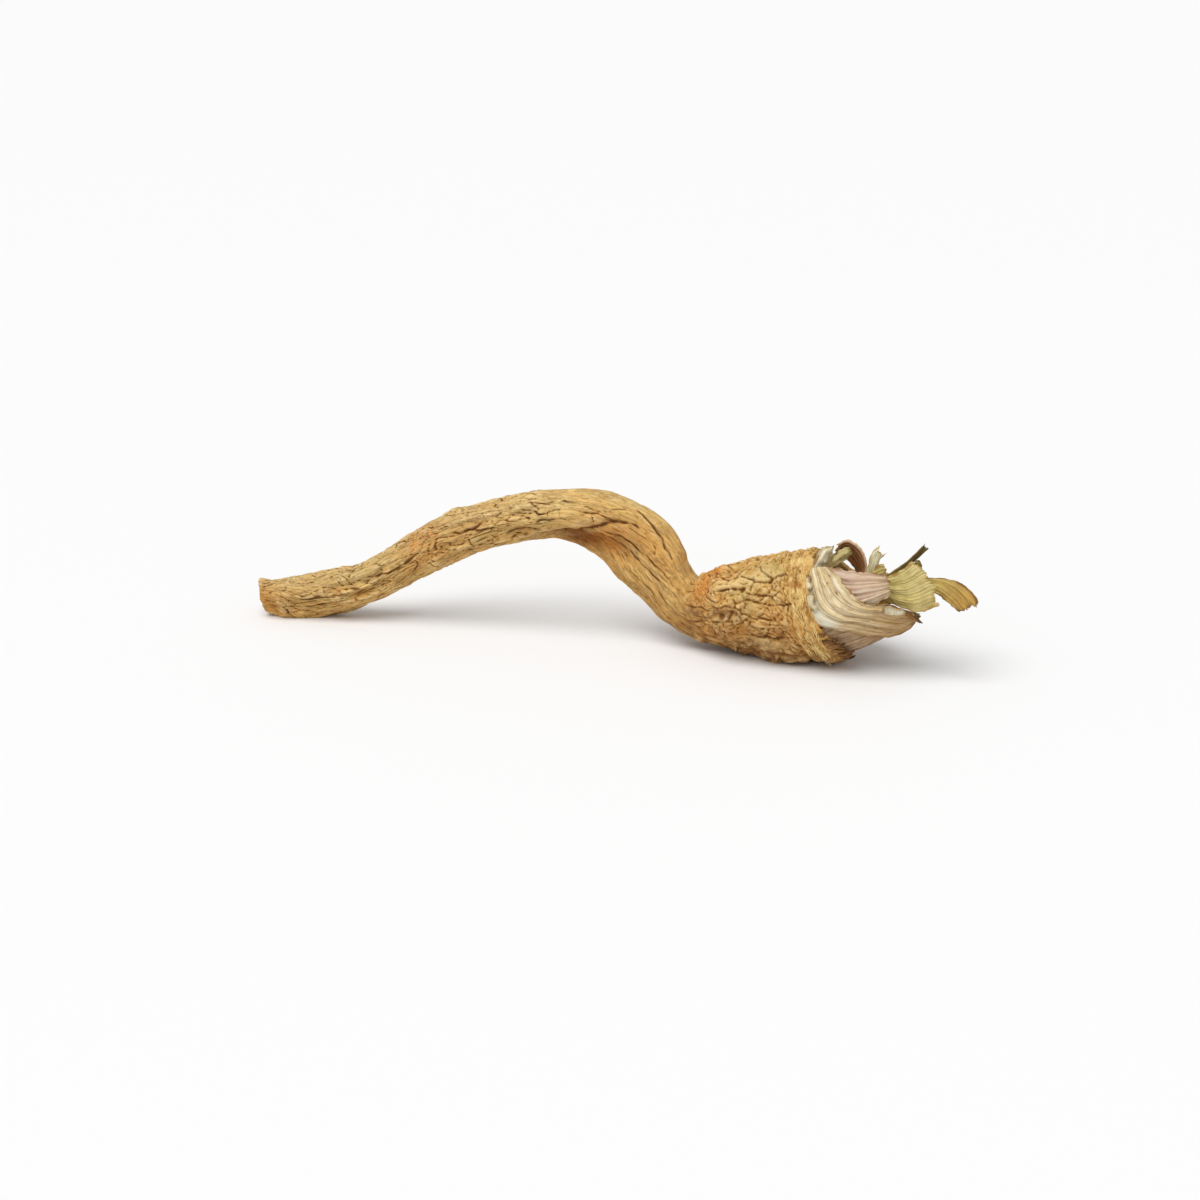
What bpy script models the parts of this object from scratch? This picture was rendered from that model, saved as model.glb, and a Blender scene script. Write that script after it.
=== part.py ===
"""Dried root parsley: an arched root lying on a table, with the remains of its leaf stalks at the crown.

The root runs along +X from its cut tail to the crown. +Y points away from the side that shows, and +Z up.
It rests at Z = 0 on a flat spot under the crown and another under the tail.
Lengths below are in millimetres, and they are turned into metres as each mesh is made.
"""

import math

import bmesh
import bpy
import numpy as np

MM = 0.001

# Driving sizes of the whole root
CROWN_RADIUS = 15.0
SHEET_THICKNESS = 0.7
LAYER_GAP = 0.35
WRAP_INSET = 0.7
RIB_HEIGHT = 0.25

# The middle of the built shape's box, so that the origin lies under the middle of the object
BOX_MIDDLE = (-2.9, -6.0)

# Stations along the root, from the cut tail to the neck:
# x, y, z of the centre line, half height and half depth of the section
STATIONS = [
    (-98.9, 18.5, 6.1, 4.4, 3.9),
    (-93.1, 18.2, 5.7, 4.9, 4.3),
    (-86.2, 17.6, 5.3, 5.8, 4.9),
    (-77.9, 16.8, 7.1, 6.2, 5.1),
    (-68.1, 15.6, 10.2, 5.6, 5.0),
    (-59.8, 14.4, 15.7, 5.4, 4.9),
    (-52.0, 13.0, 20.8, 5.8, 5.2),
    (-40.4, 10.8, 26.9, 6.1, 5.4),
    (-27.3, 8.4, 31.0, 6.4, 5.5),
    (-16.0, 6.0, 32.8, 7.0, 5.5),
    (-6.1, 4.0, 31.5, 8.7, 5.4),
    (0.6, 2.5, 28.4, 9.4, 5.3),
    (7.2, 0.5, 23.0, 9.4, 5.5),
    (12.6, -1.5, 17.3, 8.1, 6.1),
    (17.9, -4.0, 12.4, 8.2, 7.3),
    (24.6, -6.5, 11.3, 9.5, 9.0),
    (32.0, -9.0, 12.3, 11.9, 11.5),
    (39.8, -11.5, 13.3, 13.4, 13.0),
    (47.1, -13.5, 14.1, 14.3, 13.9),
    (54.4, -15.5, 15.2, 15.0, 14.8),
]
NECK = np.array(STATIONS[-1][:3])
ALONG = np.array([0.888, -0.323, 0.328])
UPWARD = np.array([-0.308, 0.112, 0.945])
FORWARD = np.array([-0.342, -0.940, 0.0])

# The heart of the crown, inside the leaf bases: distance past the neck, radius
HEART = [(0.3, 11.9), (2.5, 9.8), (4.8, 6.8), (6.4, 3.8)]
HEART_TIP = 7.2

# Relief of the skin, in millimetres of height
FOLD_HEIGHT = 1.0
KNOB_HEIGHT = 1.6
RING_HEIGHT = 0.35
GROOVE_DEPTH = 3.2
SCAR_HEIGHT = 0.9
SHOULDER_RISE = 1.6
NOTCH_DEPTH = 2.2

# The tail is cut at a slant: its lower side is shorter by this much
TAIL_SLANT = 2.2

# Raised scars: distance from the tail in millimetres, degrees round the section from its upper side, width
SCARS = [
    (49.5, 60, 3.0),
    (62.0, 330, 2.6),
    (84.0, 20, 2.8),
    (147.5, 95, 3.4),
    (158.0, 205, 3.2),
    (168.0, 300, 3.0),
]

# The root settles into the surface by this much, which makes the flat spots that it rests on
REST_DEPTH = 0.7

SIDES = 44
ROWS = 100


def unit(vector):
    """The vectors in the last axis, made one long."""
    return vector / np.linalg.norm(vector, axis=-1, keepdims=True)


def smooth_rows(rows, count):
    """Count rows read evenly along a smooth curve through rows whose first three values are a point."""
    rows = np.array(rows, float)
    steps = np.linalg.norm(np.diff(rows[:, :3], axis=0), axis=1)
    at = np.concatenate([[0.0], np.cumsum(steps)])
    slopes = np.gradient(rows, at, axis=0)
    wanted = np.linspace(0.0, at[-1], count)
    piece = np.clip(np.searchsorted(at, wanted) - 1, 0, len(at) - 2)
    span = (at[piece + 1] - at[piece])[:, None]
    t = (wanted[:, None] - at[piece][:, None]) / span
    start, end = rows[piece], rows[piece + 1]
    rise, fall = slopes[piece] * span, slopes[piece + 1] * span
    curve = (2 * t**3 - 3 * t**2 + 1) * start + (t**3 - 2 * t**2 + t) * rise
    return curve + (3 * t**2 - 2 * t**3) * end + (t**3 - t**2) * fall, wanted


def ramp(value, low, high):
    """0 below low, 1 above high and smooth between them."""
    t = np.clip((value - low) / (high - low), 0.0, 1.0)
    return t * t * (3 - 2 * t)


def bump(value, middle, width):
    """A smooth hill of height 1 at middle."""
    return np.exp(-(((value - middle) / width) ** 2))


def skin_noise(turn, along, cells, pitch, seed):
    """Smooth noise from 0 to 1 that closes round the root: cells steps around and one for each pitch along."""
    draw = np.random.default_rng(seed)
    rows = int(np.max(along) / pitch) + 3
    lattice = draw.random((rows, cells))
    u = (turn / math.tau % 1.0) * cells
    v = np.clip(along / pitch, 0, rows - 2)
    u0, v0 = np.floor(u).astype(int) % cells, np.floor(v).astype(int)
    fu, fv = ramp(u - np.floor(u), 0, 1), ramp(v - np.floor(v), 0, 1)
    u1 = (u0 + 1) % cells
    near = lattice[v0, u0] * (1 - fu) + lattice[v0, u1] * fu
    far = lattice[v0 + 1, u0] * (1 - fu) + lattice[v0 + 1, u1] * fu
    return near * (1 - fv) + far * fv


def crown_point(along, up, forward):
    """A point of the crown's own frame: past the neck, upwards and towards the side that shows."""
    return NECK + along * ALONG + up * UPWARD + forward * FORWARD


def crown_polar(along, radius, degrees):
    """A point round the crown's axis: 0 degrees is up, 90 the side that shows and 180 down."""
    angle = np.radians(degrees)
    along, radius = np.asarray(along)[..., None], np.asarray(radius)[..., None]
    around = np.cos(angle)[..., None] * UPWARD + np.sin(angle)[..., None] * FORWARD
    return NECK + along * ALONG + radius * around


def new_object(name, points, faces, material):
    """A mesh object from points in millimetres, moved so that the box's middle is over the origin."""
    middle = np.array([*BOX_MIDDLE, 0.0])
    mesh = bpy.data.meshes.new(name)
    mesh.from_pydata([tuple(p) for p in (points - middle) * MM], [], faces)
    work = bmesh.new()
    work.from_mesh(mesh)
    bmesh.ops.recalc_face_normals(work, faces=work.faces)
    work.to_mesh(mesh)
    work.free()
    mesh.shade_smooth()
    mesh.materials.append(material)
    made = bpy.data.objects.new(name, mesh)
    bpy.context.scene.collection.objects.link(made)
    return made


def new_material(name, colour, roughness):
    """A plain finish with the part's colour."""
    made = bpy.data.materials.new(name)
    made.use_nodes = True
    shader = made.node_tree.nodes["Principled BSDF"]
    shader.inputs["Base Color"].default_value = (*colour, 1.0)
    shader.inputs["Roughness"].default_value = roughness
    shader.inputs["Metallic"].default_value = 0.0
    return made


def root_relief(turn, along, length):
    """Height of the skin over the plain section: folds, knobs, scars, neck rings and the bend's forms."""
    crown_share = ramp(along, length - 52, length - 26)
    limb_share = bump(along, length - 62, 20)
    wander = turn + 0.5 * skin_noise(turn, along, 6, 26, 3)
    folds = 0.7 - 2 * np.abs(2 * skin_noise(wander, along, 10, 15, 5) - 1)
    knobs = skin_noise(turn + along * 0.03, along, 17, 4.6, 7) - 0.5
    rings = np.sin(math.tau * (length - along) / 3.2) * ramp(along, length - 9, length - 2)
    groove_turn = np.radians(126 - 30 * ramp(along, length - 74, length - 52))
    groove = bump(turn, groove_turn, 0.5) * bump(along, length - 69, 20)
    from_top = (turn + math.pi) % math.tau - math.pi
    shoulder = bump(from_top, 0.2, 0.6) * bump(along, length - 57, 6)
    notch = bump(from_top, 0.1, 0.8) * bump(along, length - 43.5, 4.5)
    folds_here = FOLD_HEIGHT * (1 - 0.5 * limb_share) * (1 - 0.6 * crown_share)
    knobs_here = KNOB_HEIGHT * crown_share * (1 - ramp(along, length - 9, length - 3))
    height = folds_here * folds + knobs_here * knobs + RING_HEIGHT * rings - GROOVE_DEPTH * groove
    height += SHOULDER_RISE * shoulder - NOTCH_DEPTH * notch
    for where, degrees, width in SCARS:
        away = (turn - math.radians(degrees) + math.pi) % math.tau - math.pi
        height += SCAR_HEIGHT * bump(away, 0.0, 0.35) * bump(along, where, width)
    return height * ramp(along, 0, 4) * (1 - ramp(along, length - 0.8, length))


def root_sections():
    """Rings of points along the root, from the cut tail to the neck."""
    rows, along = smooth_rows(STATIONS, ROWS)
    centre, high, deep = rows[:, :3], rows[:, 3], rows[:, 4]
    forward_axis = np.array([0.0, -1.0, 0.0])
    tangent = unit(np.gradient(centre, axis=0))
    lean = ramp(along, along[-1] - 14, along[-1])[:, None]
    tangent = unit(tangent * (1 - lean) + ALONG * lean)
    front = unit(forward_axis - (tangent @ forward_axis)[:, None] * tangent)
    outward = np.cross(front, tangent)
    turn = np.arange(SIDES) * math.tau / SIDES
    turn_grid, along_grid = np.meshgrid(turn, along)
    height = root_relief(turn_grid, along_grid, along[-1])
    limb = bump(along, along[-1] - 68, 22)[:, None]
    thin = 1 + 0.42 * limb * np.cos(turn_grid)
    up_share = np.cos(turn_grid) * (high[:, None] + height)
    front_share = np.sin(turn_grid) * (deep[:, None] * thin + height)
    slant = TAIL_SLANT * (0.5 - 0.5 * np.cos(turn_grid)) * (1 - ramp(along_grid, 0, 9))
    return (
        centre[:, None, :]
        + slant[..., None] * tangent[:, None, :]
        + up_share[..., None] * outward[:, None, :]
        + front_share[..., None] * front[:, None, :]
    )


def heart_sections():
    """Rings of points over the heart of the crown, past the neck."""
    degrees = np.arange(SIDES) * 360 / SIDES
    ring = [crown_polar(np.full(SIDES, past), np.full(SIDES, radius), degrees) for past, radius in HEART]
    return np.array(ring)


def make_root(material):
    """The root: tail, arch, flattened bend and knobbed crown, as one solid that rests on flat spots."""
    rings = np.concatenate([root_sections(), heart_sections()])
    points = rings.reshape(-1, 3)
    tail_end = rings[0].mean(axis=0) + np.array([0.5, 0.0, 0.0])
    points = np.vstack([points, tail_end, crown_point(HEART_TIP, 0, 0)])
    settled = points[:, 2] - REST_DEPTH * (1 - ramp(points[:, 2], REST_DEPTH, 5 * REST_DEPTH))
    points[:, 2] = np.maximum(settled, 0.0)
    faces = []
    for i in range(len(rings) - 1):
        for j in range(SIDES):
            k = (j + 1) % SIDES
            low, high = i * SIDES, (i + 1) * SIDES
            faces.append((low + j, low + k, high + k, high + j))
    last = (len(rings) - 1) * SIDES
    for j in range(SIDES):
        k = (j + 1) % SIDES
        faces.append((k, j, len(points) - 2))
        faces.append((last + j, last + k, len(points) - 1))
    return new_object("root", points, faces, material)


def torn_end(columns, depth, seed, bow):
    """How far each column of a sheet reaches, as a share of its length.

    Up to depth of it is torn off, and the middle reaches further by bow.
    """
    share = np.linspace(0, 1, columns)
    return 1 - depth * np.random.default_rng(seed).random(columns) + bow * 4 * share * (1 - share)


def sheet_solid(name, middle, material):
    """A closed sheet round a grid of middle points, split into triangles alike on both faces."""
    rows, columns = middle.shape[:2]
    down, across = np.gradient(middle, axis=0), np.gradient(middle, axis=1)
    half = unit(np.cross(down, across)) * SHEET_THICKNESS / 2
    points = np.concatenate([middle + half, middle - half]).reshape(-1, 3)
    back = rows * columns
    faces = []
    for i in range(rows - 1):
        for j in range(columns - 1):
            a, b = i * columns + j, i * columns + j + 1
            c, d = a + columns, b + columns
            faces += [(a, b, d), (a, d, c)]
            faces += [(back + a, back + d, back + b), (back + a, back + c, back + d)]
    rim = list(range(columns))
    rim += [i * columns + columns - 1 for i in range(1, rows)]
    rim += [(rows - 1) * columns + j for j in range(columns - 2, -1, -1)]
    rim += [i * columns for i in range(rows - 2, 0, -1)]
    for a, b in zip(rim, rim[1:] + rim[:1]):
        faces += [(a, back + a, back + b), (a, back + b, b)]
    return new_object(name, points, faces, material)


def read_rows(rows, where):
    """Rows read at the places in where, from 0 at the first to 1 at the last, along a smooth curve."""
    rows = np.array(rows, float)
    at = np.linspace(0, 1, len(rows))
    slopes = np.gradient(rows, at, axis=0)
    piece = np.clip(np.searchsorted(at, where) - 1, 0, len(at) - 2)
    span = (at[piece + 1] - at[piece])[..., None]
    t = (where - at[piece])[..., None] / span
    curve = (2 * t**3 - 3 * t**2 + 1) * rows[piece] + (t**3 - 2 * t**2 + t) * slopes[piece] * span
    return curve + (3 * t**2 - 2 * t**3) * rows[piece + 1] + (t**3 - t**2) * slopes[piece + 1] * span


def sheet_grid(cells, torn, seed, bow=0.0):
    """Two grids over a sheet: the share of its length up to the torn end, and the share of its width."""
    rows, columns = cells
    length_share = np.linspace(0, 1, rows)[:, None] * torn_end(columns, torn, seed, bow)[None, :]
    return length_share, np.broadcast_to(np.linspace(0, 1, columns), length_share.shape)


def rib_lift(length_share, width_share, ribs):
    """Height of the ribs that run along a sheet and start a little past its base."""
    return RIB_HEIGHT * np.sin(math.tau * ribs * width_share) * ramp(length_share, 0.05, 0.3)


def make_wrap(name, material, stations, cells, ribs, torn, seed):
    """A leaf base that wraps the crown. A station is the distance past the neck, radius, first and last angle."""
    u, v = sheet_grid(cells, torn, seed)
    along, radius, first, last = np.moveaxis(read_rows(stations, u), -1, 0)
    middle = crown_polar(along, radius + rib_lift(u, v, ribs), first + (last - first) * v)
    return sheet_solid(name, middle, material)


def make_strap(name, material, upper_edge, lower_edge, arch, cells, ribs, torn, seed, bow=0.0):
    """A strap between two edges, arched across by the given height.

    An edge's points are in the crown's frame: past the neck, upwards and towards the side that shows.
    """
    u, v = sheet_grid(cells, torn, seed, bow)
    local = read_rows(upper_edge, u) * (1 - v[..., None]) + read_rows(lower_edge, u) * v[..., None]
    middle = NECK + local @ np.array([ALONG, UPWARD, FORWARD])
    down, across = np.gradient(middle, axis=0), np.gradient(middle, axis=1)
    lift = rib_lift(u, v, ribs) - arch * 4 * v * (1 - v)
    return sheet_solid(name, middle + unit(np.cross(down, across)) * lift[..., None], material)


def make_wrap_upper(material):
    """The outer wrap on the side that shows, which winds down and forward to a torn point."""
    outer = CROWN_RADIUS - WRAP_INSET
    stations = [
        (0.8, outer, 30, 91),
        (5.0, outer + 0.1, 34, 100),
        (9.0, outer - 0.2, 46, 109),
        (12.5, outer - 0.7, 68, 124),
        (16.0, outer - 1.5, 85, 143),
        (19.5, outer - 2.8, 89, 157),
        (23.0, outer - 4.3, 107, 161),
        (26.5, outer - 5.6, 130, 156),
    ]
    make_wrap("wrap_upper", material, stations, cells=(16, 12), ribs=4.5, torn=0.1, seed=11)


def make_wrap_lower(material):
    """The wrap under the outer one, which closes the crown from below."""
    second = CROWN_RADIUS - WRAP_INSET - SHEET_THICKNESS - LAYER_GAP
    stations = [
        (0.8, second, 100, 180),
        (5.0, second - 0.3, 100, 176),
        (9.0, second - 0.9, 104, 172),
        (12.5, second - 1.7, 112, 168),
        (16.0, second - 2.8, 124, 166),
        (19.5, second - 4.0, 136, 164),
    ]
    make_wrap("wrap_lower", material, stations, cells=(13, 11), ribs=4, torn=0.1, seed=12)


def make_back_wraps(material):
    """The two shorter wraps on the far side."""
    outer = CROWN_RADIUS - WRAP_INSET
    low = [(0.8, outer, 188, 274), (6.0, outer - 0.6, 193, 268)]
    low += [(11.0, outer - 1.8, 200, 262), (16.0, outer - 3.6, 212, 254)]
    high = [(0.8, outer, 279, 330), (2.6, outer - 0.4, 280, 320)]
    high += [(4.8, outer - 0.9, 281, 294), (7.5, outer - 1.8, 283, 290)]
    make_wrap("wrap_back_low", material, low, cells=(11, 11), ribs=4, torn=0.25, seed=13)
    make_wrap("wrap_back_high", material, high, cells=(8, 10), ribs=3.5, torn=0.3, seed=14)


def make_lilac_sheath(material):
    """The boat-shaped sheath that comes out from under the outer wrap."""
    stations = [
        (2.0, 12.1, 14, 86),
        (6.0, 12.2, 24, 88),
        (10.0, 12.2, 33, 92),
        (14.0, 11.8, 40, 92),
        (18.0, 11.1, 45, 88),
        (20.5, 10.7, 49, 84),
        (22.6, 10.3, 54, 80),
    ]
    make_wrap("lilac_sheath", material, stations, cells=(13, 10), ribs=3.5, torn=0.1, seed=15)


def make_inner_bases(ochre, green):
    """The two short leaf bases inside the wraps of the far side."""
    low = [(4.8, 8.4, 196, 262), (8.5, 8.9, 200, 258), (12.0, 8.6, 208, 250), (15.5, 7.8, 216, 240)]
    high = [(5.0, 7.5, 268, 318), (8.5, 7.7, 270, 314), (12.0, 7.3, 276, 308)]
    make_wrap("inner_low", ochre, low, cells=(9, 7), ribs=2.5, torn=0.2, seed=22)
    make_wrap("inner_high", green, high, cells=(8, 7), ribs=2.5, torn=0.3, seed=23)


def make_green_stalk(material):
    """The broad ribbed stalk that comes out of the lilac sheath and widens to its cut end."""
    upper = [(6.2, 5.6, 3.0), (12.0, 4.8, 2.6), (17.0, 4.6, 2.2)]
    upper += [(21.1, 4.9, 2.4), (24.5, 5.8, 2.2), (27.6, 7.3, 2.0)]
    lower = [(6.2, 0.8, 7.0), (13.0, 0.6, 7.2), (18.5, -0.6, 7.2)]
    lower += [(22.8, -3.2, 7.6), (27.5, -5.0, 8.4), (33.3, -4.5, 8.6)]
    size = {"cells": (14, 9), "ribs": 3.5, "torn": 0.06, "seed": 16, "bow": 0.1}
    make_strap("green_stalk", material, upper, lower, arch=1.0, **size)


def make_curved_stalk(material):
    """The longest stalk, which runs out behind the green one and bends down at its tip."""
    upper = [(7.8, 1.6, -1.0), (15.0, 2.6, -1.2), (22.0, 3.2, -1.0), (29.3, 1.1, -0.6)]
    upper += [(33.8, 0.0, -0.2), (37.6, -1.8, 0.5), (40.2, -4.6, 1.4), (41.9, -8.6, 2.8)]
    lower = [(7.8, -1.8, 1.6), (15.0, -1.4, 2.4), (21.5, -1.0, 2.8), (27.5, -0.8, 3.2)]
    lower += [(31.2, -2.0, 3.8), (33.2, -4.0, 4.4), (34.8, -6.1, 4.6), (36.4, -8.6, 4.4)]
    make_strap("curved_stalk", material, upper, lower, arch=0.8, cells=(20, 7), ribs=2.5, torn=0.05, seed=17)


def make_olive_strip(material):
    """The narrow dark strip that stands up behind the green stalk."""
    upper = [(7.8, 3.8, -1.6), (12.5, 3.6, -1.8), (17.6, 3.4, -2.0)]
    upper += [(22.0, 4.9, -2.4), (25.7, 6.6, -3.0), (30.5, 9.6, -4.2)]
    lower = [(7.8, 2.0, -3.2), (12.5, 1.8, -3.4), (16.8, 1.8, -3.6)]
    lower += [(21.2, 3.4, -3.8), (25.2, 5.0, -4.0), (30.4, 7.8, -4.4)]
    make_strap("olive_strip", material, upper, lower, arch=-0.3, cells=(13, 4), ribs=0, torn=0.05, seed=18)


def make_brown_strap(material):
    """The strap that rises out of the crown and curls back over it."""
    upper = [(6.6, 5.2, 0.6), (10.5, 5.0, 0.6), (13.8, 6.4, 0.8), (15.0, 9.6, 0.9)]
    upper += [(14.6, 12.8, 0.6), (12.8, 15.0, -0.2), (10.2, 15.7, -1.2), (6.6, 14.8, -2.2)]
    lower = [(6.6, 4.4, -2.8), (8.8, 4.4, -2.8), (9.7, 5.6, -3.2), (9.5, 7.2, -3.8)]
    lower += [(8.4, 8.6, -4.6), (7.6, 10.2, -5.0), (6.6, 11.6, -5.3), (4.8, 12.2, -5.3)]
    make_strap("brown_strap", material, upper, lower, arch=-0.4, cells=(18, 7), ribs=0, torn=0.06, seed=19)


def make_cream_pieces(material):
    """The lobe that folds up from the outer wrap and the ribbon inside it."""
    lobe_upper = [(1.2, 12.0, 6.2), (3.3, 14.6, 5.4), (5.2, 16.6, 4.2), (7.1, 16.4, 2.6)]
    lobe_lower = [(3.8, 11.7, 6.2), (6.1, 12.3, 5.2), (7.6, 13.5, 4.0), (8.6, 14.8, 2.6)]
    lobe_cells = (9, 6)
    make_strap("cream_fold", material, lobe_upper, lobe_lower, 0.6, lobe_cells, ribs=0, torn=0.12, seed=20)
    upper = [(2.4, 10.8, 0.6), (6.2, 12.9, 0.5), (9.2, 14.2, 0.7), (12.0, 14.3, 1.2)]
    lower = [(4.6, 9.7, 3.9), (8.2, 10.8, 3.2), (10.8, 11.8, 2.6), (12.6, 13.0, 2.1)]
    make_strap("cream_ribbon", material, upper, lower, arch=0.5, cells=(10, 5), ribs=0, torn=0.12, seed=24)


def make_torn_sliver(material):
    """The thin forked sliver that stands between the brown strap and the green stalk."""
    upper = [(6.0, 7.6, 3.4), (10.0, 7.0, 3.2), (13.4, 6.6, 3.0)]
    upper += [(15.6, 8.8, 2.9), (17.1, 11.4, 2.7), (19.2, 12.8, 2.4), (21.4, 13.8, 2.0)]
    lower = [(6.2, 7.0, 1.8), (10.8, 6.1, 1.6), (15.8, 5.6, 1.6)]
    lower += [(17.8, 7.6, 1.7), (18.8, 9.2, 1.5), (20.0, 9.8, 1.3), (21.3, 10.5, 1.0)]
    size = {"cells": (13, 7), "ribs": 0, "torn": 0.06, "seed": 21, "bow": -0.14}
    make_strap("torn_sliver", material, upper, lower, arch=0.3, **size)


def main():
    """Clears the scene and builds every piece."""
    for old in list(bpy.data.objects):
        bpy.data.objects.remove(old)
    pale = new_material("pale_sheath", (0.68, 0.60, 0.42), 0.8)
    green = new_material("green_stalk", (0.48, 0.43, 0.18), 0.8)
    ochre = new_material("ochre_stalk", (0.50, 0.34, 0.10), 0.8)
    make_root(new_material("root_skin", (0.50, 0.32, 0.13), 0.85))
    make_wrap_upper(pale)
    make_wrap_lower(pale)
    make_back_wraps(pale)
    make_lilac_sheath(new_material("lilac_sheath", (0.56, 0.42, 0.36), 0.8))
    make_inner_bases(ochre, green)
    make_green_stalk(green)
    make_curved_stalk(ochre)
    make_olive_strip(new_material("olive_leaf", (0.16, 0.12, 0.04), 0.8))
    make_brown_strap(new_material("brown_strap", (0.26, 0.14, 0.10), 0.8))
    make_cream_pieces(pale)
    make_torn_sliver(green)


main()
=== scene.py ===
# %% [markdown]
# # A dried root parsley
# This lesson dresses one dried root parsley: an arched root with a cut tail, a flat twisted bend, a knobbed
# crown and the torn remains of its leaf stalks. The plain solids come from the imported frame, and every one of
# them is replaced by a finer piece in the same place. Lengths in this file are in millimetres, and MM turns
# them into Blender's metres.

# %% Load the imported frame
import itertools
import math

import bmesh
import bpy
import numpy as np
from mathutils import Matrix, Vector


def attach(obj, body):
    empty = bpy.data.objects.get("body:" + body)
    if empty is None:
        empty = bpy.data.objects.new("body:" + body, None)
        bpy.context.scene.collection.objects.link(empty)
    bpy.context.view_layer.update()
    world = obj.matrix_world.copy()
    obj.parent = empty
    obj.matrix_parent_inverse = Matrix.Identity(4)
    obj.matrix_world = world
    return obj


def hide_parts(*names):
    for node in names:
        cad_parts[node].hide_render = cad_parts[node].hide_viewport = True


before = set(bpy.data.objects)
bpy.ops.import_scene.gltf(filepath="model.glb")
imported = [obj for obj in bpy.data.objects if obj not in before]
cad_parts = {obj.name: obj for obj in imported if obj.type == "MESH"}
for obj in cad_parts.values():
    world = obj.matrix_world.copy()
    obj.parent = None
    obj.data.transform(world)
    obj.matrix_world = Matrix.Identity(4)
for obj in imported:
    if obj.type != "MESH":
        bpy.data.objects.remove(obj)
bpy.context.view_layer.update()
MM = 0.001
print("solids in the frame:", len(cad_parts))

# %% [markdown]
# ## Camera
# The camera comes first, because every later choice is judged through it. A long lens from well back keeps
# the root from looking stretched. The camera looks down by twenty degrees at a point in the middle of the
# root. Blender's Standard view transform is chosen over AgX, so that a white table stays white.

# %% Place the camera
LENS = 100.0
SENSOR = 36.0
LOOK_DOWN = math.radians(20)
CAMERA_DISTANCE = 900.0
AIM = np.array([-2.4, 9.5, 9.6])

camera_data = bpy.data.cameras.new("camera")
camera_data.lens = LENS
camera_data.sensor_width = SENSOR
camera = bpy.data.objects.new("camera", camera_data)
backwards = np.array([0.0, -math.cos(LOOK_DOWN), math.sin(LOOK_DOWN)])
camera.location = (AIM + CAMERA_DISTANCE * backwards) * MM
camera.rotation_euler = (math.pi / 2 - LOOK_DOWN, 0, 0)
bpy.context.scene.collection.objects.link(camera)
bpy.context.scene.camera = camera
bpy.context.scene.view_settings.view_transform = "Standard"
print("camera at", [round(v, 3) for v in camera.location])

# %% [markdown]
# ## Table and light
# The root lies on a plain white table. The table could be a box with edges, but a plane that reaches far past
# the view has no horizon to distract. An area light would fade towards the back of the table, so a sun with a
# very wide disc stands for a large softbox, and a pale world fills the shadows as white walls do.

# %% A mesh and a plain finish
def add_mesh(name, points, faces, finish):
    """A smooth mesh object from points in millimetres."""
    mesh = bpy.data.meshes.new(name)
    faces = faces.tolist() if isinstance(faces, np.ndarray) else faces
    mesh.from_pydata((np.asarray(points, float) * MM).tolist(), [], faces)
    work = bmesh.new()
    work.from_mesh(mesh)
    bmesh.ops.recalc_face_normals(work, faces=work.faces)
    work.to_mesh(mesh)
    work.free()
    mesh.shade_smooth()
    mesh.materials.append(finish)
    made = bpy.data.objects.new(name, mesh)
    bpy.context.scene.collection.objects.link(made)
    return made


def plain_finish(name, colour, roughness):
    """A material with one Principled BSDF, and that shader."""
    made = bpy.data.materials.new(name)
    made.use_nodes = True
    shader = made.node_tree.nodes["Principled BSDF"]
    shader.inputs["Base Color"].default_value = (*colour, 1)
    shader.inputs["Roughness"].default_value = roughness
    return made, shader


print("helpers for meshes and for plain finishes are ready")

# %% Lay the table
TABLE_SIZE = 8000.0
TABLE_WHITE, TABLE_ROUGHNESS = (0.86, 0.86, 0.86), 0.7
CORNERS = [(-1, -1, 0), (1, -1, 0), (1, 1, 0), (-1, 1, 0)]

table_finish, _ = plain_finish("white_table", TABLE_WHITE, TABLE_ROUGHNESS)
table = add_mesh("table", np.array(CORNERS) * TABLE_SIZE / 2, [(0, 1, 2, 3)], table_finish)
print("the table is", TABLE_SIZE * MM, "m wide")

# %% Hang the light
LIGHT_FROM = (-0.30, -0.35, 1.0)
LIGHT_SPREAD = math.radians(50)
LIGHT_POWER = 2.3
SKY_STRENGTH = 0.5
WALLS_WHITE = (1, 1, 1, 1)

light_data = bpy.data.lights.new("soft_light", "SUN")
light_data.angle = LIGHT_SPREAD
light_data.energy = LIGHT_POWER
light = bpy.data.objects.new("soft_light", light_data)
light.rotation_euler = Vector(LIGHT_FROM).to_track_quat("Z", "Y").to_euler()
bpy.context.scene.collection.objects.link(light)

world = bpy.data.worlds.new("studio")
world.use_nodes = True
world.node_tree.nodes["Background"].inputs["Color"].default_value = WALLS_WHITE
world.node_tree.nodes["Background"].inputs["Strength"].default_value = SKY_STRENGTH
bpy.context.scene.world = world
print("the light has a disc of", round(math.degrees(LIGHT_SPREAD)), "degrees")

# %% [markdown]
# ## The root's line
# A root has no straight axis. It could be sculpted freely, but a root is really one long skin round a bent
# line, so it is made as rings of points on stations along that line. Each station gives the middle of the
# root, its half height and its half depth. The stations are the same as those of the plain solid, which keeps
# the finer skin where the solid is.

# %% Stations along the root
# The point of the stations that stands at the frame's zero.
BOX_MIDDLE = np.array([-2.9, -6.0, 0.0])
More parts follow.
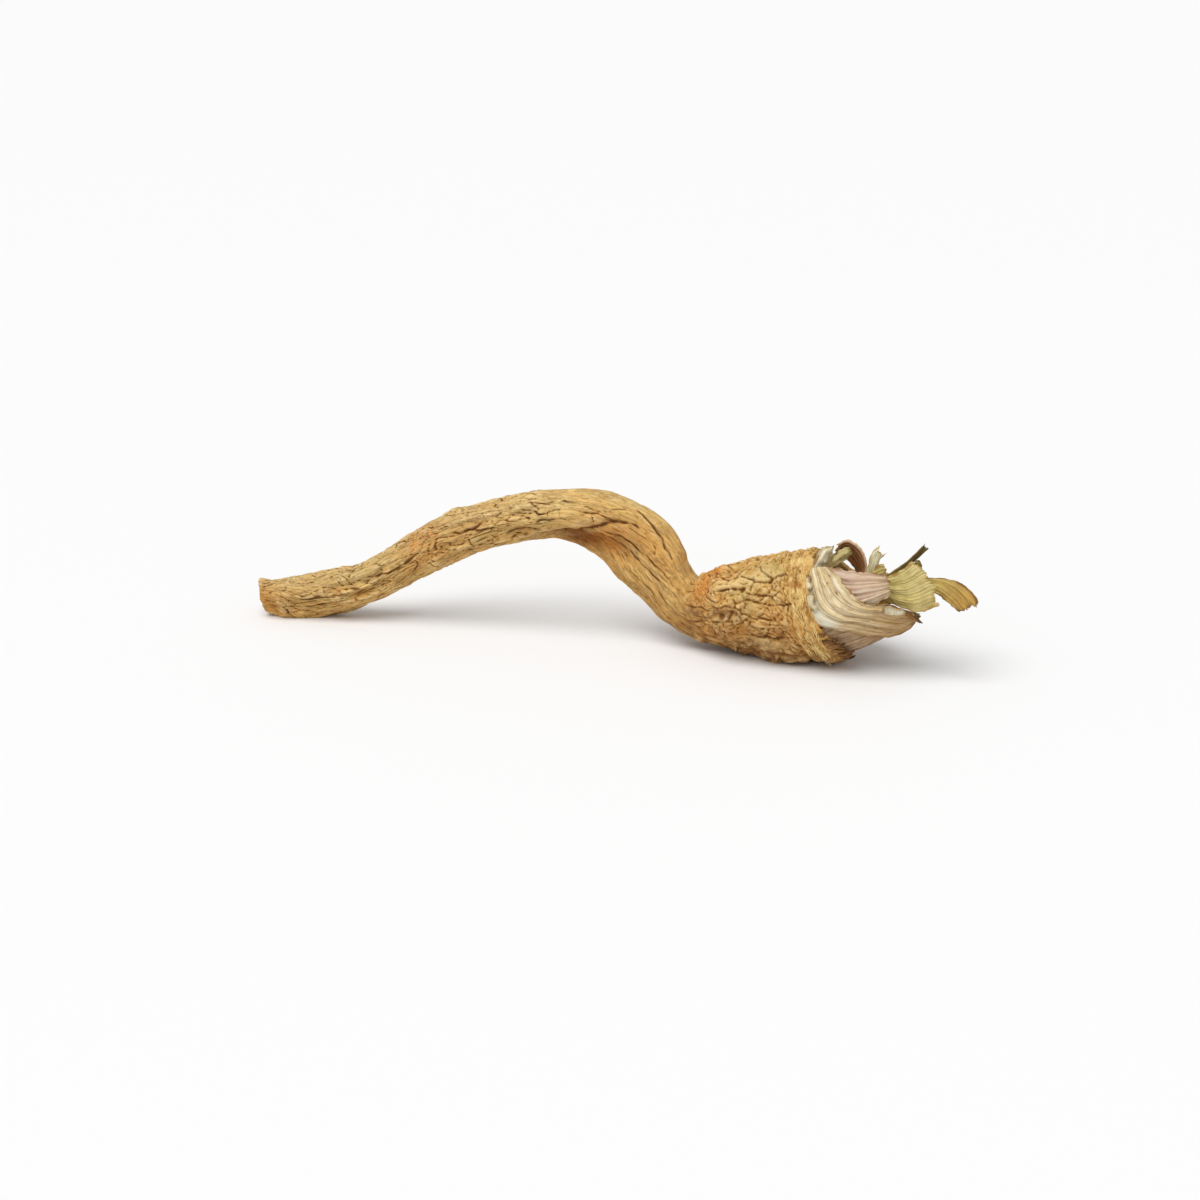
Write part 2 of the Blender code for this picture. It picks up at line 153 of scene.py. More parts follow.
# Each station: x, y and z of the root's middle, its half height and its half depth.
STATIONS = [
    (-98.9, 18.5, 6.1, 4.4, 3.9),
    (-93.1, 18.2, 5.7, 4.9, 4.3),
    (-86.2, 17.6, 5.3, 5.8, 4.9),
    (-77.9, 16.8, 7.1, 6.2, 5.1),
    (-68.1, 15.6, 10.2, 5.6, 5.0),
    (-59.8, 14.4, 15.7, 5.4, 4.9),
    (-52.0, 13.0, 20.8, 5.8, 5.2),
    (-40.4, 10.8, 26.9, 6.1, 5.4),
    (-27.3, 8.4, 31.0, 6.4, 5.5),
    (-16.0, 6.0, 32.8, 7.0, 5.5),
    (-6.1, 4.0, 31.5, 8.7, 5.4),
    (0.6, 2.5, 28.4, 9.4, 5.3),
    (7.2, 0.5, 23.0, 9.4, 5.5),
    (12.6, -1.5, 17.3, 8.1, 6.1),
    (17.9, -4.0, 12.4, 8.2, 7.3),
    (24.6, -6.5, 11.3, 9.5, 9.0),
    (32.0, -9.0, 12.3, 11.9, 11.5),
    (39.8, -11.5, 13.3, 13.4, 13.0),
    (47.1, -13.5, 14.1, 14.3, 13.9),
    (54.4, -15.5, 15.2, 15.0, 14.8),
]
NECK = np.array(STATIONS[-1][:3])
# The crown's own directions: along its axis, upwards, and towards the side that shows.
ALONG = np.array([0.888, -0.323, 0.328])
UPWARD = np.array([-0.308, 0.112, 0.945])
FORWARD = np.array([-0.342, -0.940, 0.0])
print("stations:", len(STATIONS))


# %% Curve helpers
def unit(vector):
    """The vectors in the last axis, made one long."""
    return vector / np.linalg.norm(vector, axis=-1, keepdims=True)


def ramp(value, low, high):
    """0 below low, 1 above high and smooth between them."""
    t = np.clip((value - low) / (high - low), 0.0, 1.0)
    return t * t * (3 - 2 * t)


def bump(value, middle, width):
    """A smooth hill of height 1 at middle."""
    return np.exp(-(((value - middle) / width) ** 2))


def read_curve(rows, at, wanted):
    """Rows that stand at the places in at, read at the wanted places along a smooth curve."""
    rows, wanted = np.array(rows, float), np.asarray(wanted, float)
    slopes = np.gradient(rows, at, axis=0)
    piece = np.clip(np.searchsorted(at, wanted) - 1, 0, len(at) - 2)
    span = (at[piece + 1] - at[piece])[..., None]
    t = (wanted - at[piece])[..., None] / span
    start, end = rows[piece], rows[piece + 1]
    rise, fall = slopes[piece] * span, slopes[piece + 1] * span
    curve = (2 * t**3 - 3 * t**2 + 1) * start + (t**3 - 2 * t**2 + t) * rise
    return curve + (3 * t**2 - 2 * t**3) * end + (t**3 - t**2) * fall


station_steps = np.linalg.norm(np.diff(np.array(STATIONS)[:, :3], axis=0), axis=1)
STATION_PLACES = np.concatenate([[0.0], np.cumsum(station_steps)])
LENGTH = STATION_PLACES[-1]
print("the root is", round(LENGTH, 1), "mm long along its bent line")

# %% [markdown]
# ## Noise for a dried skin
# A root that dries shrinks in folds, and the folds run along it. Blender's displacement textures could make
# them, but here the same noise also has to tell the material where the hollows are. So the noise is worked
# out in Python. It is the usual gradient noise: each corner of a lattice has a random slope, and the slopes
# are blended between the corners.

# %% Noise
LATTICE = 24
NOISE_REACH = 1.7
FAR = 9.0
SLIT_SHARE, SHOULDER_SHARE, SHOULDER_WIDTH = 0.55, 0.45, 3


def lattice_noise(place, seed):
    """Smooth noise of about -1 to 1, with a hill or a hollow for each unit. Each seed gives other hills."""
    slopes = unit(np.random.default_rng(seed).normal(size=(LATTICE, LATTICE, LATTICE, 3)))
    cell = np.floor(place).astype(int)
    part = place - cell
    fade = part**3 * (part * (part * 6 - 15) + 10)
    total = np.zeros(place.shape[:-1])
    for corner in itertools.product((0, 1), repeat=3):
        index = tuple((cell[..., axis] + corner[axis]) % LATTICE for axis in range(3))
        weight = np.prod(np.where(np.array(corner) == 1, fade, 1 - fade), axis=-1)
        total += weight * np.sum(slopes[index] * (part - np.array(corner)), axis=-1)
    return NOISE_REACH * total


def stretched(place, across, along):
    """Places for noise whose hills are so many millimetres across the fibres and along them."""
    return place / np.array([across, across, along])


def crevices(noise, sharp):
    """1 on the lines where the noise changes sign, with a broad shoulder and a narrow slit."""
    shoulder = SHOULDER_SHARE * bump(noise, 0, SHOULDER_WIDTH * sharp)
    return shoulder + SLIT_SHARE * bump(noise, 0, sharp)


def cell_edges(place, seed):
    """How far each place is from the edge of its cell, where cells of about one unit fill the space."""
    centres = np.random.default_rng(seed).random((LATTICE, LATTICE, LATTICE, 3))
    cell = np.floor(place).astype(int)
    nearest, second = np.full(place.shape[:-1], FAR), np.full(place.shape[:-1], FAR)
    for step in itertools.product((-1, 0, 1), repeat=3):
        near = cell + np.array(step)
        index = tuple(near[..., axis] % LATTICE for axis in range(3))
        away = np.linalg.norm(near + centres[index] - place, axis=-1)
        second = np.minimum(second, np.maximum(nearest, away))
        nearest = np.minimum(nearest, away)
    return second - nearest


print("noise repeats after", LATTICE, "steps")


# %% Noise of the plain solid
def skin_noise(turn, along, cells, pitch, seed):
    """The noise of the plain solid, from 0 to 1: cells steps around and one for each pitch along."""
    lattice = np.random.default_rng(seed).random((int(LENGTH / pitch) + 3, cells))
    u = (turn / math.tau % 1.0) * cells
    v = np.clip(along / pitch, 0, len(lattice) - 2)
    u0, v0 = np.floor(u).astype(int) % cells, np.floor(v).astype(int)
    fu, fv = ramp(u - np.floor(u), 0, 1), ramp(v - np.floor(v), 0, 1)
    u1 = (u0 + 1) % cells
    near = lattice[v0, u0] * (1 - fu) + lattice[v0, u1] * fu
    far = lattice[v0 + 1, u0] * (1 - fu) + lattice[v0 + 1, u1] * fu
    return near * (1 - fv) + far * fv


print("the solid's noise is read round the root and along its", round(LENGTH), "mm")

# %% [markdown]
# ## The large relief
# The dried root has folds along it, knobs on its crown, rings at its neck, a groove down the bend and scars
# where rootlets were. The solid could be subdivided to keep them, but its faces would leave dents. So this
# function works out the same relief with the same values, and the finer skin stays where the solid is.

# %% Large relief
FOLD_HEIGHT = 1.0
KNOB_HEIGHT = 1.6
RING_HEIGHT, RING_PITCH = 0.35, 3.2
GROOVE_DEPTH, GROOVE_WIDTH = 3.2, 0.5
TAIL_SLANT = 2.2
# Places in millimetres along the root: from one to the other, or a middle and a reach.
KNOBBED = (LENGTH - 52, LENGTH - 26)
KNOBS_END = (LENGTH - 9, LENGTH - 3)
RINGED = (LENGTH - 9, LENGTH - 2)
GROOVE_TWIST = (LENGTH - 74, LENGTH - 52)
BEND = (LENGTH - 62, 20)
GROOVE = (LENGTH - 69, 20)
# Noise of the solid: steps round the root, millimetres along it and seed.
WANDER, FOLDS, KNOBS = (6, 26, 3), (10, 15, 5), (17, 4.6, 7)
# Marks: millimetres along, degrees round, reach along, reach round in radians, and height.
MARKS = {
    "shoulder": (LENGTH - 57, math.degrees(0.2), 6, 0.6, 1.6),
    "notch": (LENGTH - 43.5, math.degrees(0.1), 4.5, 0.8, -2.2),
    "tail scar": (49.5, 60, 3.0, 0.35, 0.9),
    "arch scar low": (62.0, 330, 2.6, 0.35, 0.9),
    "arch scar high": (84.0, 20, 2.8, 0.35, 0.9),
    "crown scar front": (147.5, 95, 3.4, 0.35, 0.9),
    "crown scar back": (158.0, 205, 3.2, 0.35, 0.9),
    "crown scar top": (168.0, 300, 3.0, 0.35, 0.9),
}


def turn_between(turn, degrees):
    """The shortest way round from an angle in degrees to each turn, in radians."""
    return (turn - math.radians(degrees) + math.pi) % math.tau - math.pi


def large_relief(turn, along):
    """The height of folds, knobs, neck rings, the bend's groove and the marks, as in the plain solid."""
    crown_share, limb_share = ramp(along, *KNOBBED), bump(along, *BEND)
    wander = turn + 0.5 * skin_noise(turn, along, *WANDER)
    folds = 0.7 - 2 * np.abs(2 * skin_noise(wander, along, *FOLDS) - 1)
    knobs = skin_noise(turn + along * 0.03, along, *KNOBS) - 0.5
    rings = np.sin(math.tau * (LENGTH - along) / RING_PITCH) * ramp(along, *RINGED)
    groove_turn = np.radians(126 - 30 * ramp(along, *GROOVE_TWIST))
    groove = bump(turn, groove_turn, GROOVE_WIDTH) * bump(along, *GROOVE)
    height = FOLD_HEIGHT * (1 - 0.5 * limb_share) * (1 - 0.6 * crown_share) * folds
    height += KNOB_HEIGHT * crown_share * (1 - ramp(along, *KNOBS_END)) * knobs
    height += RING_HEIGHT * rings - GROOVE_DEPTH * groove
    for where, degrees, reach, width, rise in MARKS.values():
        height += rise * bump(turn_between(turn, degrees), 0, width) * bump(along, where, reach)
    return height * ramp(along, 0, 4) * (1 - ramp(along, LENGTH - 0.8, LENGTH))


print("marks on the root:", ", ".join(MARKS))

# %% [markdown]
# ## The fine relief
# Close up, the tail and the arch have long plates with dark slits between them, the flat bend has close
# fibres, and the crown is crumpled into lobes. A bump in the material could only pretend such depth, so it is
# real relief here. Each kind of skin is a sum of noises, and a table gives each noise its size. Real wrinkles
# drift, so the places are pushed aside a little before the noise is read.

# %% Hills and slits of the skin
# Size across and along the fibres in millimetres, and seed. A slit also has its sharpness.
HILLS = {
    "swell": (3.4, 9, 51),
    "grain": (0.6, 5, 49),
    "cracked places": (4, 6, 46),
    "fibres": (1.1, 26, 47),
    "thin fibres": (0.7, 12, 48),
    "rough places": (6, 6, 52),
}
SLITS = {
    "plates": (2.2, 15, 43, 0.05),
    "splits": (1.2, 8, 44, 0.08),
    "cross cracks": (5, 3, 45, 0.05),
    "long slits": (3.0, 22, 43, 0.06),
}


def hills(name, place):
    """A named noise of the skin, from about -1 to 1."""
    across, along, seed = HILLS[name]
    return lattice_noise(stretched(place, across, along), seed)


def slits(name, place):
    """Named slits of the skin, 1 where they are deepest."""
    across, along, seed, sharp = SLITS[name]
    return crevices(lattice_noise(stretched(place, across, along), seed), sharp)


def drift_at(place, size, seeds):
    """Three noises that push a place aside."""
    return np.stack([lattice_noise(place / size, seed) for seed in seeds], axis=-1)


print("noises of the skin:", len(HILLS) + len(SLITS))

# %% Tail, arch and bend
PLATE_DEPTH = 0.42
SPLIT_DEPTH = 0.3
CROSS_DEPTH = 0.25
SWELL_HEIGHT = 0.35
GRAIN_DEPTH = 0.1
FIBRE_DEPTH = 0.28
THIN_FIBRES = 0.7
LONG_SLIT_DEPTH = 0.7 * PLATE_DEPTH


def long_skin(place, loose):
    """Plates of the tail and the arch, with thin slits between them, a few cracks across and fine grain."""
    cross = slits("cross cracks", loose) * ramp(hills("cracked places", loose), 0.1, 0.5)
    raised = SWELL_HEIGHT * hills("swell", loose) + GRAIN_DEPTH * hills("grain", place)
    cut = PLATE_DEPTH * slits("plates", loose) + SPLIT_DEPTH * slits("splits", loose)
    return raised - cut - CROSS_DEPTH * cross


def limb_skin(place, loose):
    """Close fibres of the flat bend, with a few long slits."""
    fibres = hills("fibres", loose) + THIN_FIBRES * hills("thin fibres", place)
    return FIBRE_DEPTH * fibres - LONG_SLIT_DEPTH * slits("long slits", loose)


print("the plates of the arch are", PLATE_DEPTH, "mm deep")

# %% Crown and neck
# Lobes of the crown: size and depth in millimetres, and seed.
CRUMPLES = [(5.4, 0.95, 55), (2.8, 0.85, 57), (1.6, 0.65, 50), (0.95, 0.4, 65)]
LOBE_CUT, LOBE_LEVEL = 0.45, 0.25
KNOT_PUSH, KNOT_SIZE, KNOT_SEEDS = (2.2, 0.8), 2.6, (62, 63, 64)
SHRUNK, LEAST_SHRINK = (LENGTH - 34, LENGTH - 14), 0.35
COBBLE_HEIGHT, COBBLE_SIZE, COBBLE_SEED = 0.25, 2.1, 56
STRAND_DEPTH, STRAND_PITCH, STRAND_REACH = 0.3, 0.7, 7


def crown_skin(place, drift, along):
    """Crumpled lobes of four sizes with sharp valleys, drawn out along the root near the bend."""
    small_drift = drift_at(place, KNOT_SIZE, KNOT_SEEDS)
    knot = place + KNOT_PUSH[0] * drift + KNOT_PUSH[1] * small_drift
    shrink = LEAST_SHRINK + (1 - LEAST_SHRINK) * ramp(along[:, 0], *SHRUNK)
    shrunk_along = np.concatenate([[0.0], np.cumsum(shrink[1:] * np.diff(along[:, 0]))])
    down = shrunk_along[:, None] + (knot - place)[..., 2] * shrink[:, None]
    flow = np.stack([knot[..., 0], knot[..., 1], down], axis=-1)
    height = np.zeros(along.shape)
    for size, depth, seed in CRUMPLES:
        lobes = np.minimum(np.abs(lattice_noise(flow / size, seed)), LOBE_CUT)
        height += depth * (lobes - LOBE_LEVEL)
    cobbles = ramp(cell_edges(knot / COBBLE_SIZE, COBBLE_SEED), 0, 0.5)
    rough = ramp(hills("rough places", place), -0.4, 0.4)
    return height + COBBLE_HEIGHT * rough * (cobbles - 0.6)


def neck_skin(place, drift):
    """Thin strands that run round the neck at a slant."""
    tilted = place[..., 2] + 0.3 * place[..., 1] + 1.6 * drift[..., 0]
    flat = place[..., :2] / STRAND_REACH
    coarse = np.concatenate([flat, tilted[..., None] / STRAND_PITCH], axis=-1)
    gaps = crevices(lattice_noise(coarse, 54), 0.12)
    return STRAND_DEPTH * lattice_noise(coarse, 53) - 0.5 * STRAND_DEPTH * gaps


print("sizes of lobe on the crown:", len(CRUMPLES))

# %% All the fine relief
DRIFT_SIZE, DRIFT_SEEDS, LOOSE_PUSH = 7, (40, 41, 42), 1.3
LIMB_SKIN = (LENGTH - 88, LENGTH - 76)
CROWN_SKIN = (LENGTH - 44, LENGTH - 32)
NECK_SKIN, NECK_CALM = (LENGTH - 9, LENGTH - 4), 0.55


def fine_relief(place, along):
    """The fine relief of every part of the skin, in millimetres of height."""
    limb, crown, neck = (ramp(along, *zone) for zone in (LIMB_SKIN, CROWN_SKIN, NECK_SKIN))
    drift = drift_at(place, DRIFT_SIZE, DRIFT_SEEDS)
    loose = place + LOOSE_PUSH * drift
    skin = long_skin(place, loose) * (1 - limb) + limb_skin(place, loose) * limb
    skin = skin * (1 - crown) + crown_skin(place, drift, along) * crown
    return skin * (1 - NECK_CALM * neck) + neck_skin(place, drift) * neck


print("the crown's skin starts", round(CROWN_SKIN[0]), "mm from the tail")

# %% [markdown]
# ## Creases that make this root its own
# Noise alone would make some root, but not this one. Its long cracks, the ridge over the bend, the pits and
# the round scars of lost rootlets are each drawn on the skin. A sculpting brush could cut them, and in code a
# line of points, each in millimetres along and degrees round, does the same with a width and a depth.

# %% Creases, strands, pits and swells
# Width and depth in millimetres, and the line's points in millimetres along and degrees round.
CREASES = [
    (
        0.8,
        1.4,
        [(76, 165), (82, 155), (87, 146), (92, 142), (96, 128), (98, 104), (101, 87), (103, 72), (106, 60)],
    ),
    (2.8, 1.0, [(82, 162), (90, 158), (98, 146), (105, 124)]),
    (0.4, 0.9, [(102, 68), (104, 63), (106, 58), (108, 54), (111, 53)]),
    (0.4, 0.9, [(107, 18), (110, 29), (112, 34), (116, 38), (118, 46), (122, 47)]),
    (0.35, 0.7, [(84, 40), (88, 40), (92, 38), (95, 43), (98, 45)]),
    (0.3, 0.5, [(99, 46), (102, 46), (106, 31)]),
    (0.35, 0.7, [(95, 71), (98, 64), (100, 61), (103, 62), (105, 62)]),
    (0.3, 0.6, [(80, 100), (83, 97), (86, 86), (89, 82), (94, 83)]),
    (0.3, 0.6, [(81, 50), (84, 56), (86, 71), (89, 64), (92, 55)]),
    (0.28, 0.45, [(91, 54), (91, 66), (91, 80)]),
    (0.28, 0.4, [(99, 62), (99, 70), (100, 80)]),
    (0.35, 0.6, [(88, 162), (94, 162), (98, 157), (103, 154)]),
    (0.3, 0.5, [(96, 120), (106, 104), (116, 100), (126, 96)]),
    (0.3, 0.5, [(102, 96), (108, 84), (116, 84), (126, 74)]),
    (0.45, 0.6, [(60, 59), (64, 74), (67, 72), (70, 64)]),
    (0.35, 0.5, [(66, 72), (70, 82), (75, 83)]),
    (0.3, 0.4, [(74, 118), (78, 110), (82, 107)]),
    (0.45, 0.7, [(57, 44), (56, 68), (55, 90)]),
    (0.4, 0.5, [(10, 82), (18, 79), (26, 88)]),
    (0.35, 0.45, [(24, 71), (28, 76), (32, 84)]),
    (0.4, 0.5, [(34, 62), (37, 68), (41, 80)]),
    (0.4, 0.6, [(38, 80), (44, 79), (51, 74)]),
    (0.35, 0.5, [(8, 104), (16, 108), (24, 103)]),
    (1.8, 0.8, [(131, 330), (131, 5), (132, 30), (135, 52)]),
    (0.35, 0.7, [(143, 20), (145, 23), (147, 31), (150, 27), (152, 31), (155, 41), (157, 42), (161, 39)]),
    (0.4, 0.8, [(142, 50), (144, 47), (148, 45), (152, 46)]),
    (0.35, 0.6, [(153, 14), (155, 19), (157, 32), (158, 36), (160, 39), (164, 32), (167, 29), (169, 18)]),
    (0.3, 0.5, [(150, 47), (154, 56), (156, 58), (160, 58), (164, 50)]),
    (0.3, 0.5, [(149, 67), (153, 61), (156, 66), (159, 70)]),
    (0.3, 0.5, [(158, 69), (164, 66), (168, 62)]),
    (0.3, 0.5, [(154, 88), (156, 82), (159, 85), (158, 97)]),
    (0.3, 0.5, [(162, 59), (165, 66), (164, 76), (167, 84)]),
    (0.4, 0.6, [(147, 72), (149, 77), (148, 84), (146, 90)]),
    (0.35, 0.6, [(143, 75), (146, 69), (150, 71), (153, 76)]),
    (0.35, 0.5, [(149, 68), (151, 74), (152, 82)]),
    (0.3, 0.4, [(143, 88), (141, 81), (143, 75)]),
    (0.35, 0.5, [(133, 80), (136, 78), (139, 74), (143, 74)]),
    (0.35, 0.6, [(134, 106), (138, 102), (141, 91), (145, 88), (151, 86)]),
    (0.7, 1.0, [(138, 126), (142, 117), (145, 121), (147, 128)]),
    (0.4, 0.6, [(152, 106), (156, 106), (160, 110), (165, 104)]),
    (0.8, 1.0, [(150, 137), (156, 131), (162, 130)]),
]
WIDE_CREASE = 0.75
# Strands and ridges that stand up: width, height and points.
STRANDS = [
    (1.3, 0.8, [(74, 146), (80, 130), (86, 118), (91, 108), (96, 90), (101, 72), (105, 58)]),
    (0.3, 0.55, [(97, 136), (103, 122), (105, 119), (110, 116), (115, 118), (121, 125)]),
    (0.3, 0.4, [(105, 94), (109, 92), (114, 93), (119, 89), (125, 82)]),
    (0.3, 0.4, [(113, 74), (117, 73), (121, 68), (127, 63)]),
    (0.3, 0.4, [(104, 150), (110, 138), (116, 134), (124, 136)]),
]
# Millimetres along, degrees round, size, and depth or height.
PITS = [(151.5, 46, 0.8, 1.1), (158.9, 41, 0.7, 0.9), (145.9, 80, 0.8, 1.3), (141, 47, 0.6, 0.7)]
SWELLS = [
    (161, 24, 4.6, 0.9),
    (146, 81, 3.2, 0.8),
    (142, 355, 4.5, 0.9),
    (157, 117, 2.6, 0.9),
    (124, 12, 5.0, 1.1),
    (146, 36, 3.0, 0.6),
    (169, 12, 2.0, 0.9),
    (168.5, 30, 1.9, 0.8),
    (166.5, 52, 1.8, 0.6),
]
# Where the fine relief is calmer: millimetres along, degrees round, length, width and strength.
CALM = [
    (146, 80, 2.2, 2.2, 0.6),
    (95, 152, 12.0, 4.0, 0.8),
    (159, 25, 6.0, 3.0, 0.55),
    (150, 36, 7.0, 1.8, 0.5),
    (157, 117, 4.0, 1.6, 0.6),
    (168, 14, 2.5, 3.0, 0.6),
]
print("drawn creases:", len(CREASES), "strands:", len(STRANDS), "pits:", len(PITS))


# %% Spots and lines on the skin
def near_spots(turn, along, radius, spots):
    """How strongly the strongest of the (along, degrees, length, width, strength) spots covers a point."""
    total = np.zeros(turn.shape)
    for where, degrees, length, width, strength in spots:
        over = turn_between(turn, degrees) * radius
        total = np.maximum(total, strength * bump(over, 0, width) * bump(along, where, length))
    return total


def near_line(turn, along, radius, line, width):
    """1 on a line of (along, degrees) points, fading out over its width in millimetres and to its ends."""
    nearest, taper = np.full(turn.shape, 1e3), np.zeros(turn.shape)
    for number, ((start, start_turn), (end, end_turn)) in enumerate(zip(line, line[1:])):
        over, down = turn_between(turn, start_turn) * radius, along - start
        wide = ((end_turn - start_turn + 180) % 360 - 180) * math.pi / 180 * radius
        deep = end - start
        share = np.clip((over * wide + down * deep) / (wide**2 + deep**2), 0, 1)
        away = np.hypot(over - share * wide, down - share * deep)
        taper = np.where(away < nearest, np.sin(math.pi * (number + share) / (len(line) - 1)), taper)
        nearest = np.minimum(nearest, away)
    taper = np.sqrt(np.clip(taper, 0.02, 1))
    return taper * bump(nearest, 0, width * (0.5 + 0.5 * taper))


WOBBLE_SIZE, WOBBLE_ROUND, WOBBLE_ALONG = 2.4, 0.35, 0.45
UNEVEN_SIZE, UNEVEN_LIMITS = 2.2, (0.3, 1.2)


def drawn_relief(turn, along, radius, place):
    """The height of the drawn creases, strands, swells and pits, and how dark the thin cuts are."""
    height, dark = np.zeros(turn.shape), np.zeros(turn.shape)
    turn = turn + WOBBLE_ROUND * lattice_noise(place / WOBBLE_SIZE, 80) / radius
    along = along + WOBBLE_ALONG * lattice_noise(place / WOBBLE_SIZE, 81)
    uneven = np.clip(0.85 + 0.7 * lattice_noise(place / UNEVEN_SIZE, 82), *UNEVEN_LIMITS)

    def round_spot(where, degrees, size):
        return bump(np.hypot(turn_between(turn, degrees) * radius, along - where), 0, size)

    for width, depth, line in CREASES:
        cut = near_line(turn, along, radius, line, width)
        if width < WIDE_CREASE:
            cut = cut * uneven
            dark = np.maximum(dark, cut)
        height -= depth * cut
    for width, rise, line in STRANDS:
        height += rise * near_line(turn, along, radius, line, width)
    for *spot, rise in SWELLS:
        height += rise * round_spot(*spot)
    for *spot, depth in PITS:
        pit = round_spot(*spot)
        height -= depth * pit
        dark = np.maximum(dark, pit)
    return height, dark


print("creases wider than", WIDE_CREASE, "mm are even and not dark")

# %% [markdown]
# ## The root's skin as a mesh
# The skin is one closed sheet of thin, wrinkled cork. A volume of small cubes could be smoothed into it, but
# rings of points keep each point's place along the fibres, which the noise and the material need. The rows
# are closer on the crown, where the relief is finest. Each point also keeps how deep it lies in a hollow.

# %% How fine the mesh is
ROW_STEP, CROWN_ROW_STEP, SIDES = 0.46, 0.31, 288
CROWN_REACH = 60.0
CREVICE_PASSES = 3

hollow_passes = 30
print("a ring of the crown has", SIDES, "points")

# %% Rings of the skin
CROWN_TURNS = (LENGTH - 14, LENGTH)
THIN_BEND, THINNING = (LENGTH - 68, 22), 0.42
TAIL_FADE, SLANT_FADE = (-1, 2), (0, 9)


def root_axes(along):
    """The middle, half height, half depth, and directions along, outwards and to the front."""
    rows = read_curve(STATIONS, STATION_PLACES, along)
    forward_axis = np.array([0.0, -1.0, 0.0])
    tangent = unit(np.gradient(rows[:, :3], along, axis=0))
    lean = ramp(along, *CROWN_TURNS)[:, None]
    tangent = unit(tangent * (1 - lean) + ALONG * lean)
    front = unit(forward_axis - (tangent @ forward_axis)[:, None] * tangent)
    return rows[:, :3], rows[:, 3], rows[:, 4], tangent, np.cross(front, tangent), front


def skin_rings():
    """Rings of points from the cut tail to the neck, with each point's noise place and relief."""
    slow = np.arange(0.0, LENGTH - CROWN_REACH, ROW_STEP)
    along = np.concatenate([slow, np.arange(LENGTH - CROWN_REACH, LENGTH, CROWN_ROW_STEP), [LENGTH]])
    centre, high, deep, tangent, outward, front = root_axes(along)
    turn, along = np.meshgrid(np.arange(SIDES) * math.tau / SIDES, along)
    place = np.stack([high[:, None] * np.cos(turn), deep[:, None] * np.sin(turn), along], axis=-1)
    radius = np.sqrt(high * deep)[:, None] * np.ones_like(turn)
    fine = fine_relief(place, along) * ramp(along, *TAIL_FADE)
    fine = fine * (1 - near_spots(turn, along, radius, CALM))
    drawn, dark = drawn_relief(turn, along, radius, place)
    height = large_relief(turn, along) + fine + drawn
    thin = 1 + THINNING * bump(along, *THIN_BEND) * np.cos(turn)
    up_share = np.cos(turn) * (high[:, None] + height)
    front_share = np.sin(turn) * (deep[:, None] * thin + height)
    slant = TAIL_SLANT * (0.5 - 0.5 * np.cos(turn)) * (1 - ramp(along, *SLANT_FADE))
    points = centre[:, None, :] + slant[..., None] * tangent[:, None, :]
    points += up_share[..., None] * outward[:, None, :] + front_share[..., None] * front[:, None, :]
    return points, turn, along, place, (height, fine + drawn, dark)


def soften(grid, passes):
    """The grid averaged with its neighbours, closed round the root."""
    for _ in range(passes):
        grid = (np.roll(grid, 1, 1) + 2 * grid + np.roll(grid, -1, 1)) / 4
        padded = np.vstack([grid[:1], grid, grid[-1:]])
        grid = (padded[:-2] + 2 * grid + padded[2:]) / 4
    return grid


skin_points, skin_turn, skin_along, skin_place, (skin_height, skin_fine, skin_dark) = skin_rings()
FIRST_CROWN_ROW = int(np.searchsorted(skin_along[:, 0], LENGTH - CROWN_REACH))
# How deep each point lies below its softened surroundings; the finish paints soil and shade there.
skin_hollow = soften(skin_height, hollow_passes) - skin_height
# How deep each point lies in a thin crevice; the finish paints soil and shade there.
skin_crevice = soften(skin_fine, CREVICE_PASSES) - skin_fine
skin_crevice = skin_crevice * (1 - ramp(skin_along, LENGTH - 2, LENGTH))
print("rings:", len(skin_points), "deepest hollow in mm:", round(float(skin_hollow.max()), 2))
